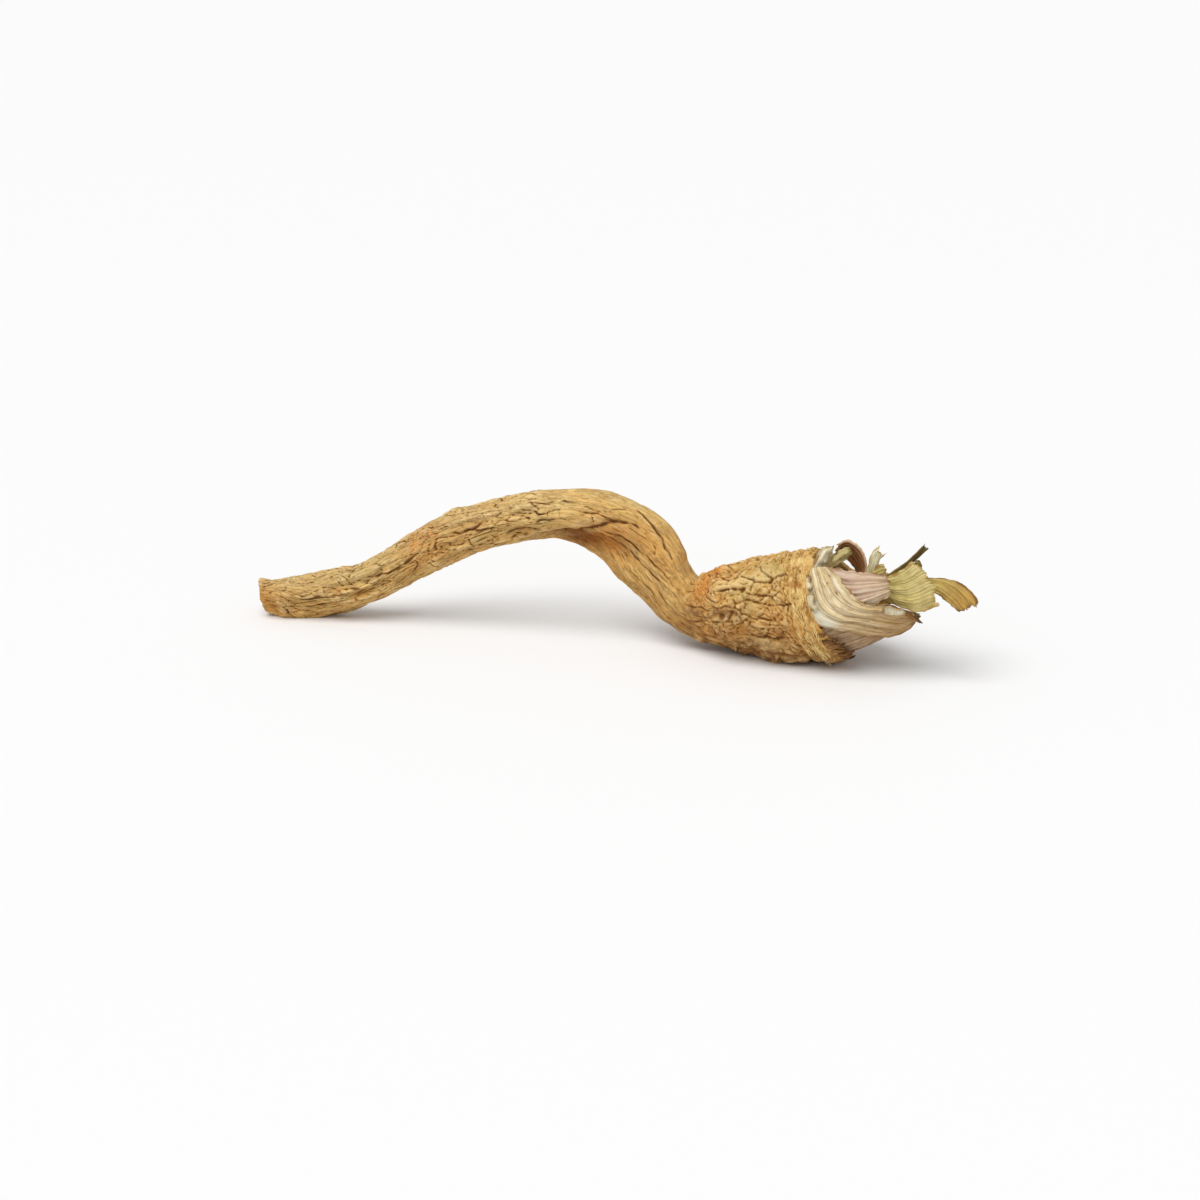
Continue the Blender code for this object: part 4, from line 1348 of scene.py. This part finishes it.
def torn_outline(width_share, cells, depth, seed, bow):
    """How far a sheet reaches at each share of its width: the solid's torn end with finer notches."""
    reach = 1 - depth * np.random.default_rng(seed).random(cells)
    reach = np.interp(width_share, np.linspace(0, 1, cells), reach)
    reach = reach + bow * 4 * width_share * (1 - width_share)
    notch = np.stack([width_share * 17, np.full_like(width_share, seed), 0 * width_share], axis=-1)
    return reach - 0.04 * np.maximum(lattice_noise(notch, 70), 0) - 0.02 * lattice_noise(2.3 * notch, 74)


def torn_shares(name, share_u, share_v, shape):
    """The shares along and across a sheet, moved so that its end and its sides are torn."""
    cells, _, torn, seed, bow = shape
    side_place = np.stack([share_u * 9, 3.0 * (share_v > 0.5), np.full_like(share_u, seed)], axis=-1)
    ragged = 0.05 * lattice_noise(side_place, 71) + 0.03 * lattice_noise(2.7 * side_place, 76)
    ragged = ragged * SIDE_TEAR.get(name, 1.0)
    u = share_u * torn_outline(share_v, cells, torn, seed, bow)
    return u, share_v + ragged * np.abs(2 * share_v - 1) ** 3 * ramp(share_u, 0.05, 0.3)


def sheet_lengths(middle):
    """How far each point of a grid is along it and across it, in millimetres."""
    lengths = np.linalg.norm(np.diff(middle, axis=0), axis=-1).mean(axis=1)
    widths = np.linalg.norm(np.diff(middle, axis=1), axis=-1).mean(axis=0)
    down, over = (np.concatenate([[0.0], np.cumsum(steps)]) for steps in (lengths, widths))
    return np.meshgrid(down, over, indexing="ij")


print("a sheet has a point for each", SHEET_COLUMN_STEP, "mm across")

# %% Relief of a sheet
VEIN_PITCH, VEIN_HEIGHT, WIDEST_VEIN = 1.25, 0.24, 1.3
CRINKLE = 0.12
RIB_HEIGHT = 0.25
SPOT_DEPTH, BALD_CALM = 0.35, 0.7


def veined(place, pitch):
    """Height from 0 in the grooves to 1 on the ribs that run along a sheet, a pitch apart on average."""
    sway = 0.55 * lattice_noise(stretched(place, 3.0, 26), 72)
    sway = sway + 0.12 * lattice_noise(stretched(place, 2.0, 5), 75)
    return np.abs(np.sin(math.pi * (place[..., 0] / pitch + sway)))


def sheet_spots(share_u, share_v, down, over, spots):
    """1 at the middle of each (share along, share across, size) spot of a sheet, fading out over its size."""
    total = np.zeros_like(share_u)
    for spot_u, spot_v, size in spots:
        away = np.hypot((share_u - spot_u) * down[-1, 0], (share_v - spot_v) * over[0, -1])
        total = np.maximum(total, bump(away, 0, size))
    return total


print("ribs of a leaf are about", VEIN_PITCH, "mm apart")

# %% Mesh of a sheet
SHEET_THICK, SHEET_EDGE, THIN_RIM = 0.5, 0.14, 1.2
EDGE_REACH = 1.3
BASE_DEPTH = 1.8


def closed_sheet(name, front, back, finish):
    """A closed mesh between two grids that share their outline."""
    rows, columns = front.shape[:2]
    points = np.concatenate([front, back]).reshape(-1, 3)
    row, column = np.meshgrid(np.arange(rows - 1), np.arange(columns - 1), indexing="ij")
    a = (row * columns + column).ravel()
    quads = np.stack([a, a + 1, a + columns + 1, a + columns], axis=-1)
    rim = list(range(columns)) + [i * columns + columns - 1 for i in range(1, rows)]
    rim += [(rows - 1) * columns + j for j in range(columns - 2, -1, -1)]
    rim = np.array(rim + [i * columns for i in range(rows - 2, 0, -1)])
    after, behind = np.roll(rim, -1), rows * columns
    edge = np.stack([rim, rim + behind, after + behind, after], axis=-1)
    faces = np.concatenate([quads, quads[:, ::-1] + behind, edge])
    return add_mesh(name, points - BOX_MIDDLE, faces, finish)


def leaf_sheet(
    name,
    surface,
    shape,
    finish,
    slot,
    pitch=VEIN_PITCH,
    waves=0.35,
    base=BASE_DEPTH,
    spots=(),
    bald=(),
    crinkle=CRINKLE,
):
    """A dried sheet on a surface. Its shape is the solid's cells, ribs, torn share and seed, and a bow."""
    _, ribs, _, seed, _ = shape
    share_u, share_v = sheet_shares(surface)
    u, v = torn_shares(name, share_u, share_v, shape)
    middle = surface(u, v)
    down, over = sheet_lengths(middle)
    place = np.stack([over, np.full_like(over, 7.0 * seed), down], axis=-1)
    veins = veined(place, pitch)
    wave = waves * lattice_noise(stretched(place, 5, 7), 73) * ramp(share_u, 0.1, 0.6)
    crumple = crinkle * lattice_noise(stretched(place, 1.6, 2.2), 77)
    lift = RIB_HEIGHT * np.sin(math.tau * ribs * v) + VEIN_HEIGHT * min(pitch, WIDEST_VEIN) * veins + crumple
    spot, bare = (sheet_spots(share_u, share_v, down, over, marks) for marks in (spots, bald))
    lift = lift * (1 - BALD_CALM * bare)
    normals = grid_normals(middle)
    middle = middle + normals * (lift * ramp(share_u, 0.02, 0.15) + wave - SPOT_DEPTH * spot)[..., None]
    edge = np.minimum(np.minimum(share_v, 1 - share_v) * over[0, -1], (1 - share_u) * down[-1, 0])
    thick = SHEET_EDGE + (SHEET_THICK - SHEET_EDGE) * ramp(edge, 0, THIN_RIM)
    foot = middle[:1] - base * ALONG
    middle, normals = np.concatenate([foot, middle]), np.concatenate([normals[:1], normals])
    thick = np.concatenate([thick[:1], thick])[..., None]
    made = closed_sheet(name, middle + normals * thick / 2, middle - normals * thick / 2, finish)
    layers = {
        "leaf_vein": veins,
        "leaf_edge": 1 - ramp(edge, 0, EDGE_REACH),
        "leaf_tip": share_u,
        "leaf_spot": spot,
        "leaf_bald": bare,
        "fibre_place": place,
    }
    for layer, values in layers.items():
        values = np.concatenate([values[:1], values])
        keep_layer(made, layer, np.concatenate([values, values]).reshape(-1, *values.shape[2:]))
    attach(made, "root")
    return made


print("a sheet is", SHEET_THICK, "mm thick and", SHEET_EDGE, "mm at its edges")

# %% [markdown]
# ## Finishes of the dry leaves
# All the leaf remains dried in the same way: pale paper between darker ribs, with brown, brittle edges. They
# differ in colour, from cream to lilac, green, ochre and purple brown. Each could have a material of its own.
# But one function makes them all, and each finish gives it five colours: for the paper, the grooves, the
# broad stripes, the tip and the edges. The grooves are darker partly in their own colour and partly as painted
# shade.

# %% Leaf finishes
LEAF_ROUGHNESS, LEAF_SHINE = 0.72, 0.3
BALD_WHITE = tone(226, 224, 202)
EDGE_SHARE = {"purple_strap": 0.8, "cream_fold": 0.45, "olive_fold": 0.55}
COMMON_EDGE_SHARE, MOST_EDGE = 0.25, 0.85


def leaf_finish(name, pale, groove, stripe, tip, edge_tone):
    """Dry leaf: pale ribs, darker grooves that are partly painted shade, broad stripes, another colour at the
    tip and brittle edges.
    """
    made, shader = plain_finish(name, pale, LEAF_ROUGHNESS)
    shader.inputs["Specular IOR Level"].default_value = LEAF_SHINE
    tree = made.node_tree
    place = read_layer(tree, "fibre_place", "Vector")
    vein = read_layer(tree, "leaf_vein")
    fine = place_group(tree, LONG_FIBRES, place, Across=0.3, Length=7.0)
    patches = place_group(tree, DRY_BLOTCHES, place, Size=3.2)
    coats = [
        (place_group(tree, LONG_FIBRES, place, Across=1.8, Length=24.0), 0.8, stripe),
        (limited(tree, read_layer(tree, "leaf_tip"), 0.35, 1.0), 0.75, tip),
        # Darker grooves between the ribs: the leaf's own colour and painted shade.
        (limited(tree, opposite(tree, vein), 0.35, 1.0), 0.7, groove),
        (patches, 0.3, groove),
        (fine, 0.25, groove),
        (place_group(tree, THIN_LINES, place, Across=0.8, Length=9.0, Width=0.14), 0.45, groove),
        (place_group(tree, THIN_LINES, place, Across=0.55, Length=6.0, Width=0.12), 0.35, pale),
        (read_layer(tree, "leaf_bald"), 0.85, BALD_WHITE),
    ]
    edge_share = maths(tree, "ADD", patches, EDGE_SHARE.get(name, COMMON_EDGE_SHARE))
    rim = times(tree, read_layer(tree, "leaf_edge"), edge_share)
    rim = maths(tree, "MAXIMUM", rim, read_layer(tree, "leaf_spot"))
    coats.append((maths(tree, "MINIMUM", rim, MOST_EDGE), 1.0, edge_tone))
    feed(tree, layered(tree, pale, coats), shader.inputs["Base Color"])
    add_bump(tree, shader, fine, 0.12, 0.7)
    return made


LEAF_TONES = {
    "cream_fold": [(246, 240, 218), (166, 146, 96), (222, 212, 172), (214, 202, 152), (148, 114, 62)],
    "olive_fold": [(214, 200, 146), (132, 110, 58), (188, 170, 108), (204, 190, 132), (122, 96, 46)],
    "wrap_sheath": [(244, 234, 202), (142, 98, 44), (216, 180, 98), (188, 136, 54), (138, 94, 46)],
    "pink_sheath": [(212, 184, 146), (120, 84, 52), (190, 152, 114), (150, 104, 60), (110, 70, 36)],
    "lilac_sheath": [(234, 220, 190), (172, 134, 112), (202, 168, 150), (206, 182, 140), (150, 108, 64)],
    "green_stalk": [(220, 204, 134), (130, 104, 46), (196, 178, 94), (222, 206, 144), (156, 118, 58)],
    "pale_sliver": [(250, 244, 216), (214, 200, 150), (240, 230, 190), (248, 240, 208), (184, 154, 92)],
    "ochre_stalk": [(216, 200, 124), (122, 92, 38), (188, 168, 88), (204, 146, 66), (124, 80, 32)],
    "olive_leaf": [(180, 160, 96), (110, 90, 46), (150, 130, 74), (104, 84, 44), (104, 82, 42)],
    "purple_strap": [(174, 122, 78), (92, 56, 28), (136, 90, 54), (146, 102, 64), (224, 186, 150)],
    "torn_brown": [(176, 130, 74), (92, 58, 26), (140, 94, 46), (124, 80, 36), (80, 50, 22)],
}
LEAF = {name: leaf_finish(name, *[tone(*t) for t in tones]) for name, tones in LEAF_TONES.items()}
print("leaf finishes:", len(LEAF))

# %% [markdown]
# ## The outer wraps
# Four leaf bases wrap the crown. The one that shows winds down and forward to a torn point, and another
# closes the crown from below. The two on the far side are shorter. Inside them come the lilac sheath and two
# short bases. Each could be bent from a flat strip, but strips of a cone round the crown's axis fit round it
# at once, and their stations are the plain solid's.

# %% Stations of the wraps
CROWN_RADIUS = 15.0
WRAP_RADIUS = CROWN_RADIUS - 0.7
SECOND_RADIUS = WRAP_RADIUS - 1.05

SWIRL_UPPER = [(6.5, 14.2, 33), (8.5, 14.2, 41), (10.4, 14.0, 53), (13.2, 13.6, 72), (16.7, 12.7, 87)]
SWIRL_UPPER += [(21.3, 10.8, 95), (24.2, 9.6, 113), (26.5, 8.7, 135)]
SWIRL_LOWER = [(-0.8, 14.2, 26), (-0.8, 14.2, 45), (-0.8, 14.2, 65), (-0.6, 14.2, 85), (3.5, 14.3, 100)]
SWIRL_LOWER += [(9.0, 14.1, 110), (14.0, 13.2, 133), (20.0, 11.3, 157), (26.5, 8.7, 150)]
# Rows of a wrap: millimetres past the neck, radius, and degrees where it starts and ends.
lower_wrap_rows = [
    (0.8, SECOND_RADIUS, 100, 180),
    (5.0, SECOND_RADIUS - 0.3, 100, 176),
    (9.0, SECOND_RADIUS - 0.9, 104, 172),
    (12.5, SECOND_RADIUS - 1.7, 112, 168),
    (16.0, SECOND_RADIUS - 2.8, 124, 166),
    (19.5, SECOND_RADIUS - 4.0, 136, 164),
]
back_low_rows = [(0.8, WRAP_RADIUS, 188, 274), (6.0, WRAP_RADIUS - 0.6, 193, 268)]
back_low_rows += [(11.0, WRAP_RADIUS - 1.8, 200, 262), (16.0, WRAP_RADIUS - 3.6, 212, 254)]
back_high_rows = [(0.8, WRAP_RADIUS, 279, 330), (2.6, WRAP_RADIUS - 0.4, 280, 320)]
back_high_rows += [(4.8, WRAP_RADIUS - 0.9, 281, 294), (7.5, WRAP_RADIUS - 1.8, 283, 290)]
lilac_rows = [
    (2.0, 12.1, 14, 86),
    (6.0, 12.2, 24, 88),
    (10.0, 12.2, 33, 92),
    (14.0, 11.8, 40, 92),
    (18.0, 11.1, 45, 88),
    (20.5, 10.7, 49, 84),
    (22.6, 10.3, 54, 80),
]
inner_low_rows = [(4.8, 8.4, 196, 262), (8.5, 8.9, 200, 258), (12.0, 8.6, 208, 250), (15.5, 7.8, 216, 240)]
inner_high_rows = [(5.0, 7.5, 268, 318), (8.5, 7.7, 270, 314), (12.0, 7.3, 276, 308)]
print("the wraps start", WRAP_RADIUS, "mm from the crown's axis")

# %% Wraps
WRAP_SPOTS = [(0.2, 0.16, 0.45), (0.24, 0.3, 0.4), (0.36, 0.22, 0.5)]
WRAP_BALD = [(0.36, 0.75, 1.8), (0.43, 0.81, 2.3), (0.51, 0.87, 2.4)]
# Each wrap: node, rows, shape, finish, slot and the distance between its ribs.
WRAPS = [
    ("wrap_lower", lower_wrap_rows, (11, 4.0, 0.1, 12, 0), "pink_sheath", "pale_sheath", 1.25),
    ("wrap_back_low", back_low_rows, (11, 4.0, 0.25, 13, 0), "pink_sheath", "pale_sheath", 1.25),
    ("wrap_back_high", back_high_rows, (10, 3.5, 0.3, 14, 0), "wrap_sheath", "pale_sheath", 1.25),
    ("lilac_sheath", lilac_rows, (10, 3.5, 0.1, 15, 0), "lilac_sheath", "lilac_sheath", 1.5),
    ("inner_low", inner_low_rows, (7, 2.5, 0.2, 22, 0), "ochre_stalk", "ochre_stalk", 1.0),
    ("inner_high", inner_high_rows, (7, 2.5, 0.3, 23, 0), "green_stalk", "green_stalk", 1.0),
]
for node, rows, shape, finish, slot, pitch in WRAPS:
    piece = leaf_sheet(f"dry_{node}", wrap_surface(rows), shape, LEAF[finish], slot, pitch)
    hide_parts(node)
swirl = swirl_surface(SWIRL_UPPER, SWIRL_LOWER)
shape = (12, 4.5, 0.1, 11, 0)
marks = {"spots": WRAP_SPOTS, "bald": WRAP_BALD}
piece = leaf_sheet("dry_wrap_upper", swirl, shape, LEAF["wrap_sheath"], "pale_sheath", 1.6, **marks)
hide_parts("wrap_upper")
print("wraps:", len(WRAPS) + 1)

# %% [markdown]
# ## Stalks, straps and slivers
# Out of the wraps come the stalks: a broad ribbed green one, a long ochre one that bends down at its tip, a
# dark strip, a strap that curls back over the crown and three small scraps. A wrap's cone can't follow them,
# because they run freely. So each is laid between two edges that are drawn as curves.

# %% Edges of the straps
# Points of an edge: millimetres past the neck, upwards, and towards the side that shows.
green_upper = [(6.2, 5.6, 3.0), (12.0, 4.8, 2.6), (17.0, 4.6, 2.2)]
green_upper += [(21.1, 4.9, 2.4), (24.5, 5.8, 2.2), (27.6, 7.3, 2.0)]
green_lower = [(6.2, 0.8, 7.0), (13.0, 0.6, 7.2), (18.5, -0.6, 7.2)]
green_lower += [(22.8, -3.2, 7.6), (27.5, -5.0, 8.4), (33.3, -4.5, 8.6)]
curved_upper = [(7.8, 1.6, -1.0), (15.0, 2.6, -1.2), (22.0, 3.2, -1.0), (29.3, 1.1, -0.6)]
curved_upper += [(33.8, 0.0, -0.2), (37.6, -1.8, 0.5), (40.2, -4.6, 1.4), (41.9, -8.6, 2.8)]
curved_lower = [(7.8, -1.8, 1.6), (15.0, -1.4, 2.4), (21.5, -1.0, 2.8), (27.5, -0.8, 3.2)]
curved_lower += [(31.2, -2.0, 3.8), (33.2, -4.0, 4.4), (34.8, -6.1, 4.6), (36.4, -8.6, 4.4)]
olive_upper = [(7.8, 3.8, -1.6), (12.5, 3.6, -1.8), (17.6, 3.4, -2.0)]
olive_upper += [(22.0, 4.9, -2.4), (25.7, 6.6, -3.0), (30.5, 9.6, -4.2)]
olive_lower = [(7.8, 2.0, -3.2), (12.5, 1.8, -3.4), (16.8, 1.8, -3.6)]
olive_lower += [(21.2, 3.4, -3.8), (25.2, 5.0, -4.0), (30.4, 7.8, -4.4)]
brown_upper = [(6.6, 5.2, 0.6), (10.5, 5.0, 0.6), (13.8, 6.4, 0.8), (15.0, 9.6, 0.9)]
brown_upper += [(14.6, 12.8, 0.6), (12.8, 15.0, -0.2), (10.2, 15.7, -1.2), (6.6, 14.8, -2.2)]
brown_lower = [(6.6, 4.4, -2.8), (8.8, 4.4, -2.8), (9.7, 5.6, -3.2), (9.5, 7.2, -3.8)]
brown_lower += [(8.4, 8.6, -4.6), (7.6, 10.2, -5.0), (6.6, 11.6, -5.3), (4.8, 12.2, -5.3)]
fold_upper = [(1.2, 12.0, 6.2), (3.3, 14.6, 5.4), (5.2, 16.6, 4.2), (7.1, 16.4, 2.6)]
fold_lower = [(3.8, 11.7, 6.2), (6.1, 12.3, 5.2), (7.6, 13.5, 4.0), (8.6, 14.8, 2.6)]
ribbon_upper = [(2.4, 10.8, 0.6), (6.2, 12.9, 0.5), (9.2, 14.2, 0.7), (12.0, 14.3, 1.2)]
ribbon_lower = [(4.6, 9.7, 3.9), (8.2, 10.8, 3.2), (10.8, 11.8, 2.6), (12.6, 13.0, 2.1)]
sliver_upper = [(6.0, 7.6, 3.4), (10.0, 7.0, 3.2), (13.4, 6.6, 3.0)]
sliver_upper += [(15.6, 8.8, 2.9), (17.1, 11.4, 2.7), (19.2, 12.8, 2.4), (21.4, 13.8, 2.0)]
sliver_lower = [(6.2, 7.0, 1.8), (10.8, 6.1, 1.6), (15.8, 5.6, 1.6)]
sliver_lower += [(17.8, 7.6, 1.7), (18.8, 9.2, 1.5), (20.0, 9.8, 1.3), (21.3, 10.5, 1.0)]
print("the longest stalk reaches", max(point[0] for point in curved_upper), "mm past the neck")

# %% Straps
# Each strap: node, both edges, the height of its arch, shape, finish and slot.
STRAPS = [
    ("green_stalk", green_upper, green_lower, 1.0, (9, 3.5, 0.06, 16, 0.1), "green_stalk", "green_stalk"),
    ("curved_stalk", curved_upper, curved_lower, 0.8, (7, 2.5, 0.05, 17, 0), "ochre_stalk", "ochre_stalk"),
    ("olive_strip", olive_upper, olive_lower, -0.3, (4, 0, 0.05, 18, 0), "olive_leaf", "olive_leaf"),
    ("brown_strap", brown_upper, brown_lower, -0.4, (7, 0, 0.06, 19, 0), "purple_strap", "brown_strap"),
    ("cream_fold", fold_upper, fold_lower, 0.9, (6, 1.5, 0.12, 20, 0.08), "cream_fold", "pale_sheath"),
    ("cream_ribbon", ribbon_upper, ribbon_lower, 0.8, (5, 1.0, 0.12, 24, 0.06), "olive_fold", "pale_sheath"),
    ("torn_sliver", sliver_upper, sliver_lower, 0.3, (7, 0, 0.08, 21, -0.14), "pale_sliver", "green_stalk"),
]
STALK_PITCH = {
    "green_stalk": 0.8,
    "curved_stalk": 0.95,
    "torn_sliver": 0.8,
    "cream_fold": 1.2,
    "cream_ribbon": 1.1,
}
CRUMPLED = ("cream_fold", "olive_fold")
for node, upper, lower, arch, shape, finish, slot in STRAPS:
    surface, pitch = strap_surface(upper, lower, arch), STALK_PITCH.get(node, VEIN_PITCH)
    waves, crinkle = (0.9, 0.95) if finish in CRUMPLED else (0.15, CRINKLE)
    relief = {"waves": waves, "crinkle": crinkle, "base": 2.5}
    piece = leaf_sheet(f"dry_{node}", surface, shape, LEAF[finish], slot, pitch, **relief)
    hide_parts(node)
print("straps:", len(STRAPS))

# %% [markdown]
# ## Scraps at the collar
# Where old leaves broke off, scraps are left: a white flap at the collar, brown shreds under the lower wrap,
# a hooked tip and a few torn teeth. They could be painted on the wraps, but they stand off and throw shadows,
# so each is a small sheet of its own, laid between two edges round the crown.

# %% Flap, strip, teeth and hook
# Both edges of each scrap: millimetres past the neck, radius and degrees.
SCRAPS = {
    "collar_flap": [
        [(0.8, 14.4, 60), (2.4, 15.6, 61), (3.6, 15.2, 64)],
        [(0.8, 14.4, 78), (2.2, 15.5, 79), (3.8, 15.0, 76)],
    ],
    "collar_strip": [
        [(0.6, 14.6, 40), (1.6, 15.2, 41), (2.6, 14.9, 43)],
        [(0.8, 14.6, 57), (1.8, 15.2, 57), (2.8, 14.9, 56)],
    ],
    "white_teeth": [
        [(19.0, 12.0, 100), (19.5, 12.5, 94), (20.0, 13.0, 88)],
        [(24.0, 10.6, 114), (24.6, 11.2, 107), (25.0, 11.8, 101)],
    ],
    "tip_hook": [
        [(24.6, 10.0, 114), (26.3, 10.4, 132), (26.6, 10.8, 156)],
        [(23.6, 9.6, 126), (24.8, 10.0, 142), (25.2, 10.4, 158)],
    ],
}
SCRAP_FINISH = {"tip_hook": "torn_brown"}
for seed, (name, edges) in enumerate(SCRAPS.items(), 30):
    finish = LEAF[SCRAP_FINISH.get(name, "cream_fold")]
    leaf_sheet(name, swirl_surface(*edges), (9, 0, 0.5, seed, 0), finish, "pale_sheath", 6.0, base=0.6)
print("scraps:", len(SCRAPS))

# %% Brown shreds
# Each shred: degrees where it starts, degrees across, and where it starts and ends past the neck.
SHREDS = [(112, 9, 2.0, 5.6), (119, 8, 2.4, 7.2), (128, 9, 2.6, 6.4), (136, 9, 2.2, 7.6), (145, 10, 2.4, 6.2)]
SHREDS += [(155, 10, 1.6, 6.8), (102, 7, 0.8, 3.4)]
for number, (near, width, first, last) in enumerate(SHREDS):
    middle, far = (first + last) / 2, near + width
    surface = swirl_surface(
        [(first, 14.7, near), (middle, 15.3, near + 1), (last, 14.8, near + 3)],
        [(first, 14.7, far), (middle, 14.9, far), (last, 14.4, far - 3)],
    )
    name, shape = f"brown_shred_{number}", (6, 0, 0.45, 40 + number, 0)
    leaf_sheet(name, surface, shape, LEAF["torn_brown"], "pale_sheath", 0.9, waves=0.5, base=0.8)
print("shreds:", len(SHREDS))

# %% Stubs
# Both edges of each stub, as points in the crown's directions, then its finish and slot.
STUBS = {
    "golden_stub": (
        [(16.2, 7.2, 2.4), (18.4, 8.2, 2.1), (20.8, 7.6, 2.0)],
        [(16.2, 4.6, 3.2), (18.8, 4.8, 2.8), (21.0, 5.2, 2.4)],
        "green_stalk",
        "ochre_stalk",
    ),
    "dark_bit": (
        [(27.2, 5.8, 2.2), (28.8, 7.2, 2.4), (30.4, 6.3, 2.5)],
        [(27.4, 3.6, 2.7), (28.4, 4.2, 2.7), (29.2, 3.0, 2.7)],
        "olive_leaf",
        "olive_leaf",
    ),
}
STUB_ARCH = 0.3
for seed, (name, (upper, lower, finish, slot)) in enumerate(STUBS.items(), 50):
    surface = strap_surface(upper, lower, STUB_ARCH)
    leaf_sheet(name, surface, (5, 0, 0.3, seed, 0), LEAF[finish], slot, 0.8, waves=0.15, base=1.0)
print("stubs:", len(STUBS))

# %% [markdown]
# ## Strands round the neck
# The skin of the neck splits into thin golden strands that run round it at a slant, some with a loose end.
# Hair curves could make them, but so few are easier to place one by one. Each strand is a thin tapered rod
# whose line is read off the root's skin, so that it lies on the wrinkles.

# %% Finish of the strands
FIBRE_GOLD, FIBRE_BROWN = tone(232, 200, 128), tone(176, 124, 56)
FIBRE_PATCH, FIBRE_ROUGHNESS = 2.5, 0.7


def strand_finish():
    """Golden fibre: pale gold with brown stretches."""
    made, shader = plain_finish("neck_fibre", STRAW, FIBRE_ROUGHNESS)
    tree = made.node_tree
    place = tree.nodes.new("ShaderNodeTexCoord").outputs["Object"]
    patches = place_group(tree, DRY_BLOTCHES, place, Size=FIBRE_PATCH * MM)
    feed(tree, blended(tree, patches, FIBRE_GOLD, FIBRE_BROWN), shader.inputs["Base Color"])
    return made


NECK_FIBRE = strand_finish()
print("brown stretches are about", FIBRE_PATCH, "mm long")

# %% Strands
STRAND_SIDES = 5
STRAND_STEPS = 26
STRAND_COUNT = 130
FRONT_STRANDS = 76
STRAND_THICK = 0.15
STRAND_FLATNESS = 0.6


def skin_at(along, degrees, lift):
    """Points of the root's skin, lifted off it. Past the neck they go straight on along the crown."""
    row = np.interp(along, skin_along[:, 0], np.arange(len(skin_along)))
    column = np.radians(degrees) / math.tau % 1.0 * SIDES
    r0, c0 = np.minimum(row.astype(int), len(skin_along) - 2), column.astype(int) % SIDES
    fr, fc, c1 = (row - r0)[:, None], (column - np.floor(column))[:, None], (c0 + 1) % SIDES
    near = skin_points[r0, c0] * (1 - fc) + skin_points[r0, c1] * fc
    far = skin_points[r0 + 1, c0] * (1 - fc) + skin_points[r0 + 1, c1] * fc
    middle = skin_points.mean(axis=1)[r0]
    point = near * (1 - fr) + far * fr
    out = unit(point - middle)
    return point + out * np.asarray(lift)[..., None] + np.maximum(along - LENGTH, 0)[:, None] * ALONG, out


def neck_strands():
    """All strands as one mesh of tapered rods."""
    chance = np.random.default_rng(90)
    share = np.linspace(0, 1, STRAND_STEPS)
    taper = 0.35 + 0.65 * np.sqrt(np.sin(math.pi * share) + 0.01)
    around = (np.arange(STRAND_SIDES) * math.tau / STRAND_SIDES)[None, :, None]
    points, faces = [], []
    for number in range(STRAND_COUNT):
        start = chance.uniform(-8, 118) if number < FRONT_STRANDS else chance.uniform(0, 360)
        degrees = start + chance.uniform(18, 46) * share
        along = LENGTH - chance.uniform(-0.6, 5.2) + chance.uniform(0.2, 2.0) * share
        along = np.minimum(along, LENGTH + 0.8) + 0.25 * np.sin(share * chance.uniform(5, 12) + number)
        loose = chance.uniform(0.1, 1.2) * ramp(share, 0.75, 1.0) ** 2
        line, out = skin_at(along, degrees, 0.1 + loose)
        thick = STRAND_THICK * chance.uniform(0.6, 1.2) * taper
        side = unit(np.cross(np.gradient(line, axis=0), out))
        ring = np.cos(around) * side[:, None] + STRAND_FLATNESS * np.sin(around) * out[:, None]
        index = len(points) * STRAND_STEPS * STRAND_SIDES + np.arange(STRAND_STEPS * STRAND_SIDES)
        index = index.reshape(STRAND_STEPS, STRAND_SIDES)
        points.append(line[:, None] + thick[:, None, None] * ring)
        faces += ring_quads(index).tolist() + [index[0, ::-1].tolist(), index[-1].tolist()]
    return add_mesh("neck_strands", np.concatenate(points).reshape(-1, 3) - BOX_MIDDLE, faces, NECK_FIBRE)


strands = neck_strands()
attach(strands, "root")
print("strands:", STRAND_COUNT)
